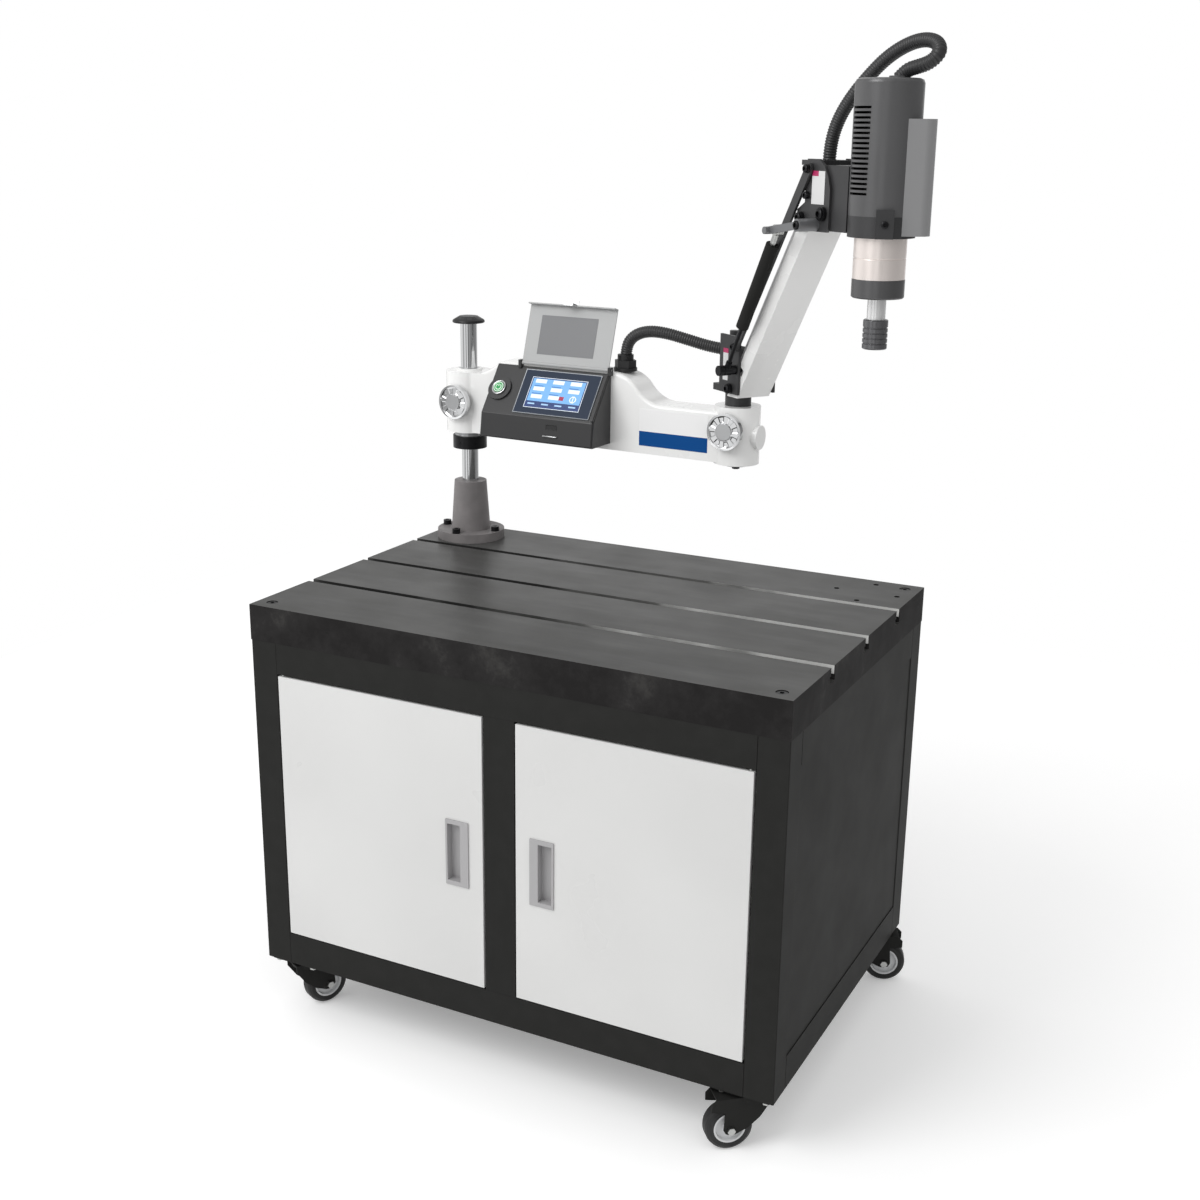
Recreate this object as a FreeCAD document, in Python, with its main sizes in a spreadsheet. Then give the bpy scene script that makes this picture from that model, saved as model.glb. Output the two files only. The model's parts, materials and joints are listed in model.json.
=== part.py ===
import FreeCAD, Part
import Sketcher
import math
import os
from types import SimpleNamespace

# Arm tapping machine on a mobile T-slot bench.
# Origin on the floor below the middle of the worktop, +Z up, +X right, front of the cabinet at -Y.
# Driving sizes: millimetres and degrees. Heights of the column and the arms are above the worktop.
SIZES = {
    # worktop
    "plate_length": 1000,
    "plate_width": 680,
    "plate_thick": 64,
    "slot_pitch": 171,
    "slot_shift": 6,
    "slot_neck": 14,
    "slot_lip": 14,
    "slot_wide": 24,
    "slot_depth": 25,
    "screw_inset": 28,
    "screw_radius": 6,
    "screw_head_radius": 9,
    "screw_head_high": 12,
    "screw_sink_radius": 10,
    "screw_sink_deep": 13,
    "screw_length": 78,
    "key_radius": 4,
    # cabinet
    "cabinet_high": 618,
    "overhang": 0.5,
    "tube": 52.5,
    "tube_wall": 3,
    "tube_round": 2,
    "end_cap": 6,
    "centre_post_wide": 58,
    "top_rail_high": 56,
    "bottom_rail_high": 60,
    "sheet": 2,
    "panel_inset": 1.5,
    # doors
    "door_gap": 3,
    "door_proud": 1.5,
    "door_deep": 12,
    "hinge_pin_radius": 3,
    "hinge_pin_in": 7,
    "hinge_pin_bite": 12,
    "handle_from_edge": 27,
    "handle_wide": 45,
    "handle_high": 120,
    "handle_flange": 2.5,
    "handle_centre_high": 413,
    "recess_wide": 25,
    "recess_high": 104,
    "recess_rim": 4,
    "recess_deep": 15,
    "recess_wall": 2,
    # casters
    "caster_high": 108,
    "caster_end_in": 55,
    "caster_side_in": 40,
    "caster_plate_long": 92,
    "caster_plate_wide": 70,
    "caster_plate_thick": 4,
    "caster_bolt_inset": 8,
    "caster_bolt_radius": 4,
    "caster_bolt_head": 6.5,
    "caster_bolt_head_high": 4.5,
    "race_radius": 24,
    "race_high": 6,
    "kingpin_radius": 6,
    "kingpin_head": 9,
    "crown_radius": 26,
    "crown_high": 10,
    "trail": 37,
    "wheel_radius": 40,
    "wheel_wide": 30,
    "hub_radius": 27,
    "hub_boss": 11,
    "leg_thick": 3,
    "fork_front": 29,
    "fork_back": 70,
    "axle_radius": 4,
    "axle_nut": 7,
    # column
    "column_end_in": 83,
    "column_back_in": 83,
    "flange_radius": 67,
    "flange_thick": 18,
    "bolt_circle": 113,
    "bolt_radius": 5,
    "bolt_head_radius": 8,
    "bolt_head_high": 10,
    "bolt_sink_radius": 8.8,
    "bolt_sink_deep": 1,
    "bolt_depth": 25,
    "spare_end_in": 82.5,
    "cone_foot": 39,
    "cone_neck": 32,
    "cone_top": 117,
    "post_radius": 16.25,
    "cap_radius": 31.5,
    "cap_low": 430,
    "cap_edge": 5,
    "cap_high": 13,
    "cap_dome": 18,
    "cap_seat": 6,
    "collar_radius": 33.5,
    "collar_low": 184,
    "collar_high": 25,
    "collar_screw_radius": 4,
    "bearing_radius": 30,
    "bearing_groove": 2,
    # first arm
    "arm_heading": -2.5,
    "arm_reach": 583,
    "arm_front": 35,
    "arm_back": 36,
    "arm_round": 7,
    "carrier_radius": 45,
    "carrier_low": 219,
    "carrier_high": 338,
    "carrier_ring": 26,
    "carrier_ring_high": 4,
    "hump_start": 94,
    "hump_end": 342,
    "hump_high": 365,
    "swan_end": 447,
    "barrel_arm_high": 312,
    "barrel_radius": 41.5,
    "barrel_low": 217,
    "barrel_high": 322,
    "side_cap_radius": 22,
    "side_cap_high": 267,
    "side_cap_out": 47,
    "bush_wall": 4,
    "bush_long": 30,
    "knob_high": 281,
    "knob_radius": 33,
    "knob_back": 47,
    "knob_face": 58,
    "knob_boss": 15,
    "knob_boss_out": 60,
    "knob_stem": 6,
    # control box on the first arm
    "box_start": 94,
    "box_end": 340,
    "box_low": 232,
    "box_top": 362,
    "box_top_deep": 5,
    "box_crease_deep": 66,
    "box_crease": 278,
    "box_front_deep": 72,
    "box_wall": 3,
    "screen_middle": 246,
    "screen_wide": 165,
    "screen_high": 92,
    "screen_sunk": 7,
    "screen_proud": 2.5,
    "button_x": 119,
    "button_radius": 11,
    "button_ring": 14,
    "button_dome": 24,
    "button_dome_out": 4,
    "button_out": 8,
    "button_long": 16,
    "cover_middle": 244,
    "cover_wide": 188,
    "cover_long": 113,
    "cover_thick": 2.5,
    "cover_lip": 12,
    "cover_lean": 17,
    "cover_hinge_radius": 3.5,
    "cover_pin_radius": 2,
    "cover_hinge_up": 7,
    "cover_lug": 6,
    "board_off": 10,
    "board_long": 180,
    "board_high": 62,
    "board_low": 246,
    "gland_x": 351,
    "gland_base": 22,
    "gland_base_high": 6,
    "gland_nut": 20.5,
    "gland_nut_high": 14,
    "gland_neck": 15,
    "gland_neck_high": 10,
    "hose_radius": 11,
    "hose_side": 15,
    "hose_level": 414,
    "hose_drop": 6,
    "hose_slack": 1.5,
    "hose_leaves": 61,
    "hose_straight": 27,
    # second arm, heights above the worktop, reach from the barrel axis
    "lift_heading": -35,
    "lift_angle": 57.4,
    "link_length": 361,
    "low_pivot_reach": 32,
    "low_pivot_high": 359,
    "upper_link_reach": 15,
    "upper_link_high": 35,
    "stay_reach": 20.5,
    "stay_high": 76,
    "swivel_radius": 23.5,
    "shaft_radius": 15,
    "swivel_head_top": 350,
    "bridge_back": 23,
    "bridge_front": 3,
    "bridge_thick": 12,
    "side_inner": 34.5,
    "side_thick": 5,
    "side_back": 4,
    "side_front": 57,
    "side_top": 452,
    "tie_post_radius": 9,
    "tie_post_off": 12,
    "tie_post_top": 456,
    "pivot_radius": 6,
    "pivot_head": 9,
    "pivot_head_high": 6,
    "link_pin_radius": 5,
    "arm_half": 33.5,
    "arm_wall": 4,
    "web_drop": 22,
    "wall_rise": 6,
    "arm_tail": 34,
    "arm_tip": 18,
    "tail_cut": 343,
    "notch_from": 29,
    "notch_to": 47,
    "notch_floor": -10,
    "bar_off": 14,
    "bar_radius": 13,
    "bar_rise": 8,
    "stay_off": 40.5,
    "stay_thick": 5,
    "stay_half": 8.5,
    "gas_off": 57.5,
    "gas_rod_radius": 3.5,
    "gas_tube_radius": 11,
    "gas_bore": 9,
    "gas_eye": 9,
    "gas_eye_half": 7,
    "gas_tube_start": 92,
    "gas_tube_gap": 27.5,
    "gas_tube_end": 8,
    "gas_rod_inside": 60,
    "gas_top_reach": -38.5,
    "gas_top_high": -22,
    # head, measured from the top pivot of the channel arm
    "head_plate_back": -12.5,
    "head_plate_front": 73.5,
    "head_plate_low": -20.125,
    "head_plate_top": 90.875,
    "mount_back": 39.5,
    "mount_low": -18.125,
    "mount_top": 81.875,
    "holder_front": 35.5,
    "holder_thick": 8,
    "holder_reach": -0.5,
    "holder_side": 10,
    "spacer_reach": 40.5,
    "spacer_high": -9.625,
    "spacer_radius": 10,
    "lever_off": 70.5,
    "lever_thick": 6,
    "lever_half": 6,
    "clamp_bolt_reach": 58,
    "clamp_bolt_high": 7.875,
    "clamp_bolt_radius": 11,
    "motor_reach": 157.5,
    "motor_radius": 52,
    "motor_wall": 4,
    "motor_seam": 9.875,
    "motor_top": 209.875,
    "motor_edge": 7,
    "vent_count": 18,
    "vent_first": 40.875,
    "vent_pitch": 7.35,
    "vent_high": 3.6,
    "vent_wide": 41,
    "inlet_reach": 150,
    "inlet_side": 22,
    "inlet_ring": 15,
    "cover_turn": 60,
    "cover_half": 46,
    "cover_out": 70,
    "cover_low": -18.125,
    "cover_top": 151.875,
    "cover_round": 20,
    "grip_turn": -33,
    "grip_half": 13.5,
    "grip_out": 57,
    "grip_top": 20.875,
    "ring_low": -22.125,
    "gear_radius": 40.5,
    "gear_low": -85.125,
    "gear_wall": 6,
    "nose_radius": 41,
    "nose_low": -114.125,
    "rotor_radius": 30,
    "rotor_low": 36.875,
    "rotor_top": 166.875,
    "rotor_shaft": 7,
    "bearing_boss": 14,
    "bearing_boss_high": 12,
    "spindle_radius": 10,
    "spindle_top": -23.125,
    "chuck_radius": 14.5,
    "chuck_low": -191.125,
    "tap_bore": 9.5,
    "tap_bore_deep": 40,
    "sleeve_radius": 19.5,
    "sleeve_low": -193.125,
    "sleeve_high": 46,
    # named clearances
    "running": 0.1,
    "clearance": 0.3,
}

doc = FreeCAD.newDocument("ArmTappingMachine")
sheet = doc.addObject("Spreadsheet::Sheet", "Sizes")
for row, (alias, value) in enumerate(SIZES.items(), start=1):
    sheet.set(f"A{row}", alias)
    sheet.set(f"B{row}", str(value))
    sheet.setAlias(f"B{row}", alias)
doc.recompute()


class Size:
    """A number together with the sheet expression that gives it."""

    def __init__(self, number, text):
        self.number = float(number)
        self.text = text

    def __add__(self, other):
        other = as_size(other)
        return Size(self.number + other.number, f"({self.text} + {other.text})")

    def __sub__(self, other):
        other = as_size(other)
        return Size(self.number - other.number, f"({self.text} - {other.text})")

    def __mul__(self, other):
        other = as_size(other)
        return Size(self.number * other.number, f"({self.text} * {other.text})")

    def __truediv__(self, other):
        other = as_size(other)
        return Size(self.number / other.number, f"({self.text} / {other.text})")

    def __radd__(self, other):
        return as_size(other) + self

    def __rsub__(self, other):
        return as_size(other) - self

    def __rmul__(self, other):
        return as_size(other) * self

    def __neg__(self):
        return as_size(0) - self


def as_size(value):
    """Gives a plain number the form of a Size."""
    return value if isinstance(value, Size) else Size(value, f"({value})")


def cosine(angle):
    angle = as_size(angle)
    return Size(math.cos(math.radians(angle.number)), f"cos({angle.text})")


def sine(angle):
    angle = as_size(angle)
    return Size(math.sin(math.radians(angle.number)), f"sin({angle.text})")


v = SimpleNamespace(**{alias: Size(sheet.get(alias), "Sizes." + alias) for alias in SIZES})


# ---------------------------------------------------------------- building helpers

def bind(obj, prop, value):
    """Binds a property to the sheet."""
    obj.setExpression(prop, as_size(value).text)


AXES = {"x": (1, 0, 0), "y": (0, 1, 0), "z": (0, 0, 1)}


def place(obj, at=(0, 0, 0), axis=None, turn=0):
    """Moves an object, and turns it about its own x, y or z axis."""
    if axis:
        rotation = FreeCAD.Rotation(FreeCAD.Vector(*AXES[axis]), as_size(turn).number)
        obj.Placement = FreeCAD.Placement(FreeCAD.Vector(), rotation)
        bind(obj, "Placement.Rotation.Angle", turn)
    for name, value in zip("xyz", at):
        bind(obj, "Placement.Base." + name, value)
    return obj


def block(x, y, z):
    """A box between a low and a high value along each axis."""
    obj = doc.addObject("Part::Box", "Block")
    for prop, (low, high) in zip(("Length", "Width", "Height"), (x, y, z)):
        bind(obj, prop, as_size(high) - low)
    return place(obj, (x[0], y[0], z[0]))


def rod(radius, length, at=(0, 0, 0), axis="z"):
    """A cylinder that starts at a point and runs along x, y or z."""
    obj = doc.addObject("Part::Cylinder", "Rod")
    bind(obj, "Radius", radius)
    bind(obj, "Height", length)
    turns = {"x": ("y", 90), "y": ("x", -90), "z": (None, 0)}
    return place(obj, at, *turns[axis])


def hexagon(radius, height, at=(0, 0, 0), axis="z"):
    """A six-sided prism that starts at a point and runs along y or z."""
    obj = doc.addObject("Part::Prism", "Hexagon")
    obj.Polygon = 6
    bind(obj, "Circumradius", radius)
    bind(obj, "Height", height)
    turns = {"y": ("x", -90), "z": (None, 0)}
    return place(obj, at, *turns[axis])


def fuse(*pieces):
    if len(pieces) == 1:
        return pieces[0]
    obj = doc.addObject("Part::MultiFuse", "Fused")
    obj.Shapes = list(pieces)
    return obj


def cut(base, *tools):
    obj = doc.addObject("Part::Cut", "Cut")
    obj.Base = base
    obj.Tool = fuse(*tools)
    return obj


def outline(body, role, points):
    """A closed sketch of straight lines on one of the body's own planes, each corner bound."""
    sketch = body.newObject("Sketcher::SketchObject", "Outline")
    plane = [feature for feature in body.Origin.OriginFeatures if feature.Role == role][0]
    sketch.AttachmentSupport = [(plane, "")]
    sketch.MapMode = "FlatFace"
    corners = [(as_size(x), as_size(y)) for x, y in points]
    spots = [FreeCAD.Vector(x.number, y.number, 0) for x, y in corners]
    count = len(spots)
    lines = [Part.LineSegment(spots[i], spots[(i + 1) % count]) for i in range(count)]
    sketch.addGeometry(lines, False)
    rules = [Sketcher.Constraint("Coincident", i, 2, (i + 1) % count, 1) for i in range(count)]
    for i, (x, y) in enumerate(corners):
        rules.append(Sketcher.Constraint("DistanceX", -1, 1, i, 1, x.number))
        rules.append(Sketcher.Constraint("DistanceY", -1, 1, i, 1, y.number))
    sketch.addConstraint(rules)
    for i, (x, y) in enumerate(corners):
        sketch.setExpression(f"Constraints[{count + 2 * i}]", x.text)
        sketch.setExpression(f"Constraints[{count + 2 * i + 1}]", y.text)
    return sketch


def turned(profile, at=(0, 0, 0), axis=None, turn=0):
    """A turned piece from (radius, height) corners about its z axis."""
    body = doc.addObject("PartDesign::Body", "Turned")
    revolution = body.newObject("PartDesign::Revolution", "Revolve")
    sketch = outline(body, "XZ_Plane", profile)
    revolution.Profile = sketch
    revolution.ReferenceAxis = (sketch, ["V_Axis"])
    revolution.Angle = 360
    body.Tip = revolution
    return place(body, at, axis, turn)


def padded(profile, role, length, at=(0, 0, 0), axis=None, turn=0, radius=None, choose=None):
    """A padded outline. It grows along +Z, +X or -Y. `choose` picks the edges that are rounded."""
    body = doc.addObject("PartDesign::Body", "Padded")
    sketch = outline(body, role, profile)
    pad = body.newObject("PartDesign::Pad", "Pad")
    pad.Profile = sketch
    bind(pad, "Length", length)
    if radius is not None:
        doc.recompute()
        names = [f"Edge{i + 1}" for i, edge in enumerate(pad.Shape.Edges) if choose(edge)]
        fillet = body.newObject("PartDesign::Fillet", "Round")
        fillet.Base = (pad, names)
        bind(fillet, "Radius", radius)
    return place(body, at, axis, turn)


def upright(edge):
    """True for an edge that runs along z."""
    first, last = edge.Vertexes[0].Point, edge.Vertexes[-1].Point
    return abs(first.z - last.z) > 1 and first.distanceToPoint(last) - abs(first.z - last.z) < 1e-6


def solid(name, shape):
    """A piece that Part's own functions make from sheet values."""
    obj = doc.addObject("Part::Feature", name)
    obj.Shape = shape
    return obj


class Frame:
    """A place and a heading that a group of pieces shares."""

    def __init__(self, x, y, z, heading):
        self.at = (x, y, z)
        self.heading = heading


NODES = []


def node(name, frame, *pieces):
    """One named sub-part: its solids side by side, placed by its frame."""
    obj = doc.addObject("Part::Compound", name)
    obj.Label = name
    obj.Links = list(pieces)
    place(obj, frame.at, "z", frame.heading)
    NODES.append(obj)


worktop_high = v.caster_high + v.cabinet_high + v.plate_thick
column_x = v.column_end_in - v.plate_length / 2
column_y = v.plate_width / 2 - v.column_back_in
spare_x = v.plate_length / 2 - v.spare_end_in

BENCH = Frame(0, 0, 0, 0)
COLUMN = Frame(column_x, column_y, worktop_high, 0)
ARM = Frame(column_x, column_y, worktop_high, v.arm_heading)
LIFT = Frame(column_x + v.arm_reach * cosine(v.arm_heading),
             column_y + v.arm_reach * sine(v.arm_heading),
             worktop_high, v.lift_heading)

frame_x = v.plate_length / 2 - v.overhang
frame_y = v.plate_width / 2 - v.overhang
cabinet_low = v.caster_high
cabinet_top = v.caster_high + v.cabinet_high
opening_low = cabinet_low + v.bottom_rail_high
opening_top = cabinet_top - v.top_rail_high
opening_out = frame_x - v.tube
opening_in = v.centre_post_wide / 2


# ---------------------------------------------------------------- worktop

def worktop():
    """A thick machined plate with three T-slots along it, for clamping the work."""
    low = -v.plate_thick
    half = v.plate_width / 2
    profile = [(-half, low), (half, low), (half, 0)]
    for step in (1, 0, -1):
        middle = v.slot_shift + step * v.slot_pitch
        for side in (1, -1):
            corners = [
                (middle + side * v.slot_neck / 2, 0),
                (middle + side * v.slot_neck / 2, -v.slot_lip),
                (middle + side * v.slot_wide / 2, -v.slot_lip),
                (middle + side * v.slot_wide / 2, -v.slot_depth),
            ]
            profile += corners if side == 1 else corners[::-1]
    profile.append((-half, 0))
    plate = padded(profile, "YZ_Plane", v.plate_length, (-v.plate_length / 2, 0, worktop_high))
    holes = []
    for x, y in corner_places(v.plate_length / 2 - v.screw_inset, v.plate_width / 2 - v.screw_inset):
        holes.append(rod(v.screw_radius, v.plate_thick, (x, y, cabinet_top)))
        holes.append(rod(v.screw_sink_radius, v.screw_sink_deep, (x, y, worktop_high - v.screw_sink_deep)))
    for middle in (column_x, spare_x):
        for x, y in cross_places(middle, column_y, v.bolt_circle / 2):
            holes.append(rod(v.bolt_radius, v.bolt_depth, (x, y, worktop_high - v.bolt_depth)))
    node("worktop_plate", BENCH, cut(plate, *holes))
    screws = []
    for x, y in corner_places(v.plate_length / 2 - v.screw_inset, v.plate_width / 2 - v.screw_inset):
        seat = worktop_high - v.screw_sink_deep
        screws.append(socket_screw(v.screw_head_radius, v.screw_head_high, v.screw_radius,
                                   v.screw_length - v.screw_head_high, (x, y, seat)))
    node("worktop_screws", BENCH, *screws)


def corner_places(x, y):
    return [(-x, -y), (x, -y), (-x, y), (x, y)]


def cross_places(x, y, radius):
    return [(x + radius, y), (x, y + radius), (x - radius, y), (x, y - radius)]


def socket_screw(head_radius, head_high, shank_radius, shank_long, seat):
    """A socket-head screw, its head standing on the seat and its shank below."""
    x, y, z = seat
    body = fuse(rod(head_radius, head_high, seat),
                rod(shank_radius, shank_long, (x, y, z - shank_long)))
    return cut(body, hexagon(v.key_radius, head_high / 2, (x, y, z + head_high / 2)))


# ---------------------------------------------------------------- cabinet

def post(x, y):
    """A square tube with a closed top and bottom, and a hole for the worktop screw."""
    profile = [(x[0], y[0]), (x[1], y[0]), (x[1], y[1]), (x[0], y[1])]
    tube = padded(profile, "XY_Plane", v.cabinet_high, (0, 0, cabinet_low), radius=v.tube_round, choose=upright)
    wall = v.tube_wall
    hollow = block((x[0] + wall, x[1] - wall), (y[0] + wall, y[1] - wall),
                   (cabinet_low + v.end_cap, cabinet_top - v.end_cap))
    return tube, hollow


def frame_tubes():
    posts = []
    for side_x, side_y in ((-1, -1), (1, -1), (-1, 1), (1, 1)):
        x = sorted((side_x * (frame_x - v.tube), side_x * frame_x), key=lambda value: value.number)
        y = sorted((side_y * (frame_y - v.tube), side_y * frame_y), key=lambda value: value.number)
        tube, hollow = post(x, y)
        screw_x = side_x * (v.plate_length / 2 - v.screw_inset)
        screw_y = side_y * (v.plate_width / 2 - v.screw_inset)
        hole = rod(v.screw_radius, v.end_cap, (screw_x, screw_y, cabinet_top - v.end_cap))
        posts.append(cut(tube, hollow, hole))
    middle = block((-opening_in, opening_in), (-frame_y, v.tube - frame_y), (opening_low, opening_top))
    inside = block((v.tube_wall - opening_in, opening_in - v.tube_wall),
                   (v.tube_wall - frame_y, v.tube - frame_y - v.tube_wall),
                   (opening_low + v.tube_wall, opening_top - v.tube_wall))
    posts.append(cut(middle, inside))
    node("frame_posts", BENCH, *posts)

    rails = []
    for low, high in ((cabinet_low, opening_low), (opening_top, cabinet_top)):
        for side in (-1, 1):
            y = sorted((side * (frame_y - v.tube), side * frame_y), key=lambda value: value.number)
            rails.append(rail((-opening_out, opening_out), y, (low, high), pins=side == -1))
            x = sorted((side * (frame_x - v.tube), side * frame_x), key=lambda value: value.number)
            inner_y = frame_y - v.tube
            rails.append(rail(x, (-inner_y, inner_y), (low, high), pins=False))
    node("frame_rails", BENCH, *rails)


def rail(x, y, z, pins):
    """A rectangular tube. The front rails have the holes of the door pins."""
    wall = v.tube_wall
    tools = [block((x[0] + wall, x[1] - wall), (y[0] + wall, y[1] - wall), (z[0] + wall, z[1] - wall))]
    if pins:
        for side in (-1, 1):
            tools.append(rod(v.hinge_pin_radius, z[1] - z[0], (side * hinge_x, hinge_y, z[0])))
    return cut(block(x, y, z), *tools)


def panels():
    edge = frame_x - v.panel_inset
    inner_y = frame_y - v.tube
    pieces = []
    for low, high in ((-edge, v.sheet - edge), (edge - v.sheet, edge)):
        pieces.append(block((low, high), (-inner_y, inner_y), (opening_low, opening_top)))
    back = frame_y - v.panel_inset
    pieces.append(block((-opening_out, opening_out), (back - v.sheet, back), (opening_low, opening_top)))
    node("cabinet_panels", BENCH, *pieces)
    floor = block((-opening_out, opening_out), (-inner_y, inner_y), (opening_low - v.sheet, opening_low))
    node("floor_panel", BENCH, floor)


# The door pins stand in the front rails, near the outer front corner of each door.
door_front = -frame_y - v.door_proud
hinge_x = opening_out - v.door_gap - v.hinge_pin_in
hinge_y = door_front + v.door_deep / 2


def doors():
    pins = []
    for name, side in (("left", -1), ("right", 1)):
        ends = (side * (opening_in + v.door_gap), side * (opening_out - v.door_gap))
        x = sorted(ends, key=lambda value: value.number)
        z = (opening_low + v.door_gap, opening_top - v.door_gap)
        tray = block(x, (door_front, door_front + v.door_deep), z)
        inside = block((x[0] + v.sheet, x[1] - v.sheet), (door_front + v.sheet, door_front + v.door_deep),
                       (z[0] + v.sheet, z[1] - v.sheet))
        pin_hole = rod(v.hinge_pin_radius + v.running, z[1] - z[0], (side * hinge_x, hinge_y, z[0]))
        inner_edge = opening_in + v.door_gap + v.handle_from_edge
        outer_edge = inner_edge + v.handle_wide
        recess_out = outer_edge - v.recess_rim
        recess_in = recess_out - v.recess_wide
        low = v.handle_centre_high - v.recess_high / 2
        high = v.handle_centre_high + v.recess_high / 2
        wall = v.recess_wall
        across = across_side(side, recess_in - wall, recess_out + wall)
        window = block(across, (door_front, door_front + v.sheet), (low - wall, high + wall))
        node("door_" + name, BENCH, cut(tray, inside, pin_hole, window))

        flange = block(across_side(side, inner_edge, outer_edge), (door_front - v.handle_flange, door_front),
                       (v.handle_centre_high - v.handle_high / 2, v.handle_centre_high + v.handle_high / 2))
        cup = block(across, (door_front - v.handle_flange, door_front + v.recess_deep), (low - wall, high + wall))
        hollow = block(across_side(side, recess_in, recess_out),
                       (door_front - v.handle_flange, door_front + v.recess_deep - wall), (low, high))
        node(f"door_{name}_handle", BENCH, cut(fuse(flange, cup), hollow))

        bite = v.hinge_pin_bite
        for pin_low, pin_high in ((opening_low - bite, z[0] + bite), (z[1] - bite, opening_top + bite)):
            pins.append(rod(v.hinge_pin_radius, pin_high - pin_low, (side * hinge_x, hinge_y, pin_low)))
    node("door_hinge_pins", BENCH, *pins)


def across_side(side, inner, outer):
    """An x range from two distances to the middle, on one side."""
    return sorted((side * inner, side * outer), key=lambda value: as_size(value).number)


# ---------------------------------------------------------------- casters

# name, side in x, side in y, heading of the trailing wheel
CASTERS = (("fl", -1, -1, 65), ("fr", 1, -1, 220), ("bl", -1, 1, 155), ("br", 1, 1, 20))

plate_low = v.caster_high - v.caster_plate_thick
crown_top = plate_low - v.race_high - v.clearance
crown_low = crown_top - v.crown_high


def casters():
    plates = []
    for name, side_x, side_y, heading in CASTERS:
        x = side_x * (v.plate_length / 2 - v.caster_end_in)
        y = side_y * (v.plate_width / 2 - v.caster_side_in)
        plates += caster_plate(x, y)
        caster_below(name, Frame(x, y, 0, heading))
    node("caster_plates", BENCH, *plates)


def caster_plate(x, y):
    """The fixed half: top plate, upper race and kingpin in one, and its four bolts."""
    half_x = v.caster_plate_long / 2
    half_y = v.caster_plate_wide / 2
    plate = block((x - half_x, x + half_x), (y - half_y, y + half_y), (plate_low, v.caster_high))
    race = rod(v.race_radius, v.race_high, (x, y, plate_low - v.race_high))
    pin_foot = crown_low - v.clearance - v.leg_thick
    kingpin = rod(v.kingpin_radius, plate_low - pin_foot, (x, y, pin_foot))
    head = rod(v.kingpin_head, v.leg_thick, (x, y, pin_foot))
    inset = v.caster_bolt_inset
    spots = [(x + dx, y + dy) for dx, dy in corner_places(half_x - inset, half_y - inset)]
    holes = [rod(v.caster_bolt_radius, v.caster_plate_thick, (bx, by, plate_low)) for bx, by in spots]
    bolts = []
    for bx, by in spots:
        head_low = plate_low - v.caster_bolt_head_high
        bolts.append(fuse(hexagon(v.caster_bolt_head, v.caster_bolt_head_high, (bx, by, head_low)),
                          rod(v.caster_bolt_radius, v.caster_plate_thick, (bx, by, plate_low))))
    return [cut(fuse(plate, race, kingpin, head), *holes)] + bolts


def caster_below(name, frame):
    """The turning half, its wheel trailing along the frame's x axis."""
    inner = v.wheel_wide / 2 + v.axle_radius / 2
    legs = []
    axle_high = v.wheel_radius
    for low in (-inner - v.leg_thick, inner):
        shape = [(-v.fork_front, crown_top), (-v.fork_front, crown_top - 14), (-v.fork_front * 0.4, axle_high + 18),
                 (v.trail - 29, axle_high + 1), (v.trail - 8, axle_high - 9), (v.trail, axle_high - 10),
                 (v.trail + 8, axle_high - 7), (v.trail + 12, axle_high), (v.trail + 10, axle_high + 32),
                 (v.fork_back, axle_high + 36), (v.fork_back, crown_top - 8), (v.fork_back - 8, crown_top)]
        legs.append(padded(shape, "XZ_Plane", v.leg_thick, (0, low + v.leg_thick, 0)))
    legs.append(block((-v.fork_front, v.fork_back - 8), (-inner, inner), (crown_top - v.leg_thick, crown_top)))
    crown = rod(v.crown_radius, v.crown_high, (0, 0, crown_low))
    axle_at = (v.trail, 0, v.wheel_radius)
    reach = inner + v.leg_thick
    room = v.wheel_radius + v.clearance * 4
    pin_room = rod(v.kingpin_radius + v.running, v.crown_high, (0, 0, crown_low))
    axle_hole = rod(v.axle_radius, 2 * reach, (v.trail, -reach, v.wheel_radius), "y")
    wheel_room = rod(room, 2 * inner, (v.trail, -inner, v.wheel_radius), "y")
    head_room = rod(v.kingpin_head + v.clearance * 2, crown_low, (0, 0, 0))
    fork = cut(fuse(crown, *legs), pin_room, axle_hole, wheel_room, head_room)
    axle = fuse(rod(v.axle_radius, 2 * reach, (v.trail, -reach, v.wheel_radius), "y"),
                hexagon(v.axle_nut, v.leg_thick * 2, (v.trail, -reach - v.leg_thick * 2, v.wheel_radius), "y"),
                hexagon(v.axle_nut, v.leg_thick * 2, (v.trail, reach, v.wheel_radius), "y"))
    node(f"caster_{name}_fork", frame, fork, axle)

    half = v.wheel_wide / 2
    bore = v.axle_radius + v.running
    boss = inner - v.clearance
    hub = turned([(bore, -boss), (v.hub_boss, -boss), (v.hub_boss, -half / 2), (v.hub_radius - 4, -half / 2),
                  (v.hub_radius - 3, -half + 1), (v.hub_radius, -half + 1), (v.hub_radius, half - 1),
                  (v.hub_radius - 3, half - 1), (v.hub_radius - 4, half / 2), (v.hub_boss, half / 2),
                  (v.hub_boss, boss), (bore, boss)], axle_at, "x", 90)
    node(f"caster_{name}_wheel", frame, hub)
    tyre = turned([(v.hub_radius, -half + 1), (v.wheel_radius - 6, -half), (v.wheel_radius - 1.5, -half + 3),
                   (v.wheel_radius, -half / 2), (v.wheel_radius, half / 2), (v.wheel_radius - 1.5, half - 3),
                   (v.wheel_radius - 6, half), (v.hub_radius, half - 1)], axle_at, "x", 90)
    node(f"caster_{name}_tyre", frame, tyre)


# ---------------------------------------------------------------- column

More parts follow.
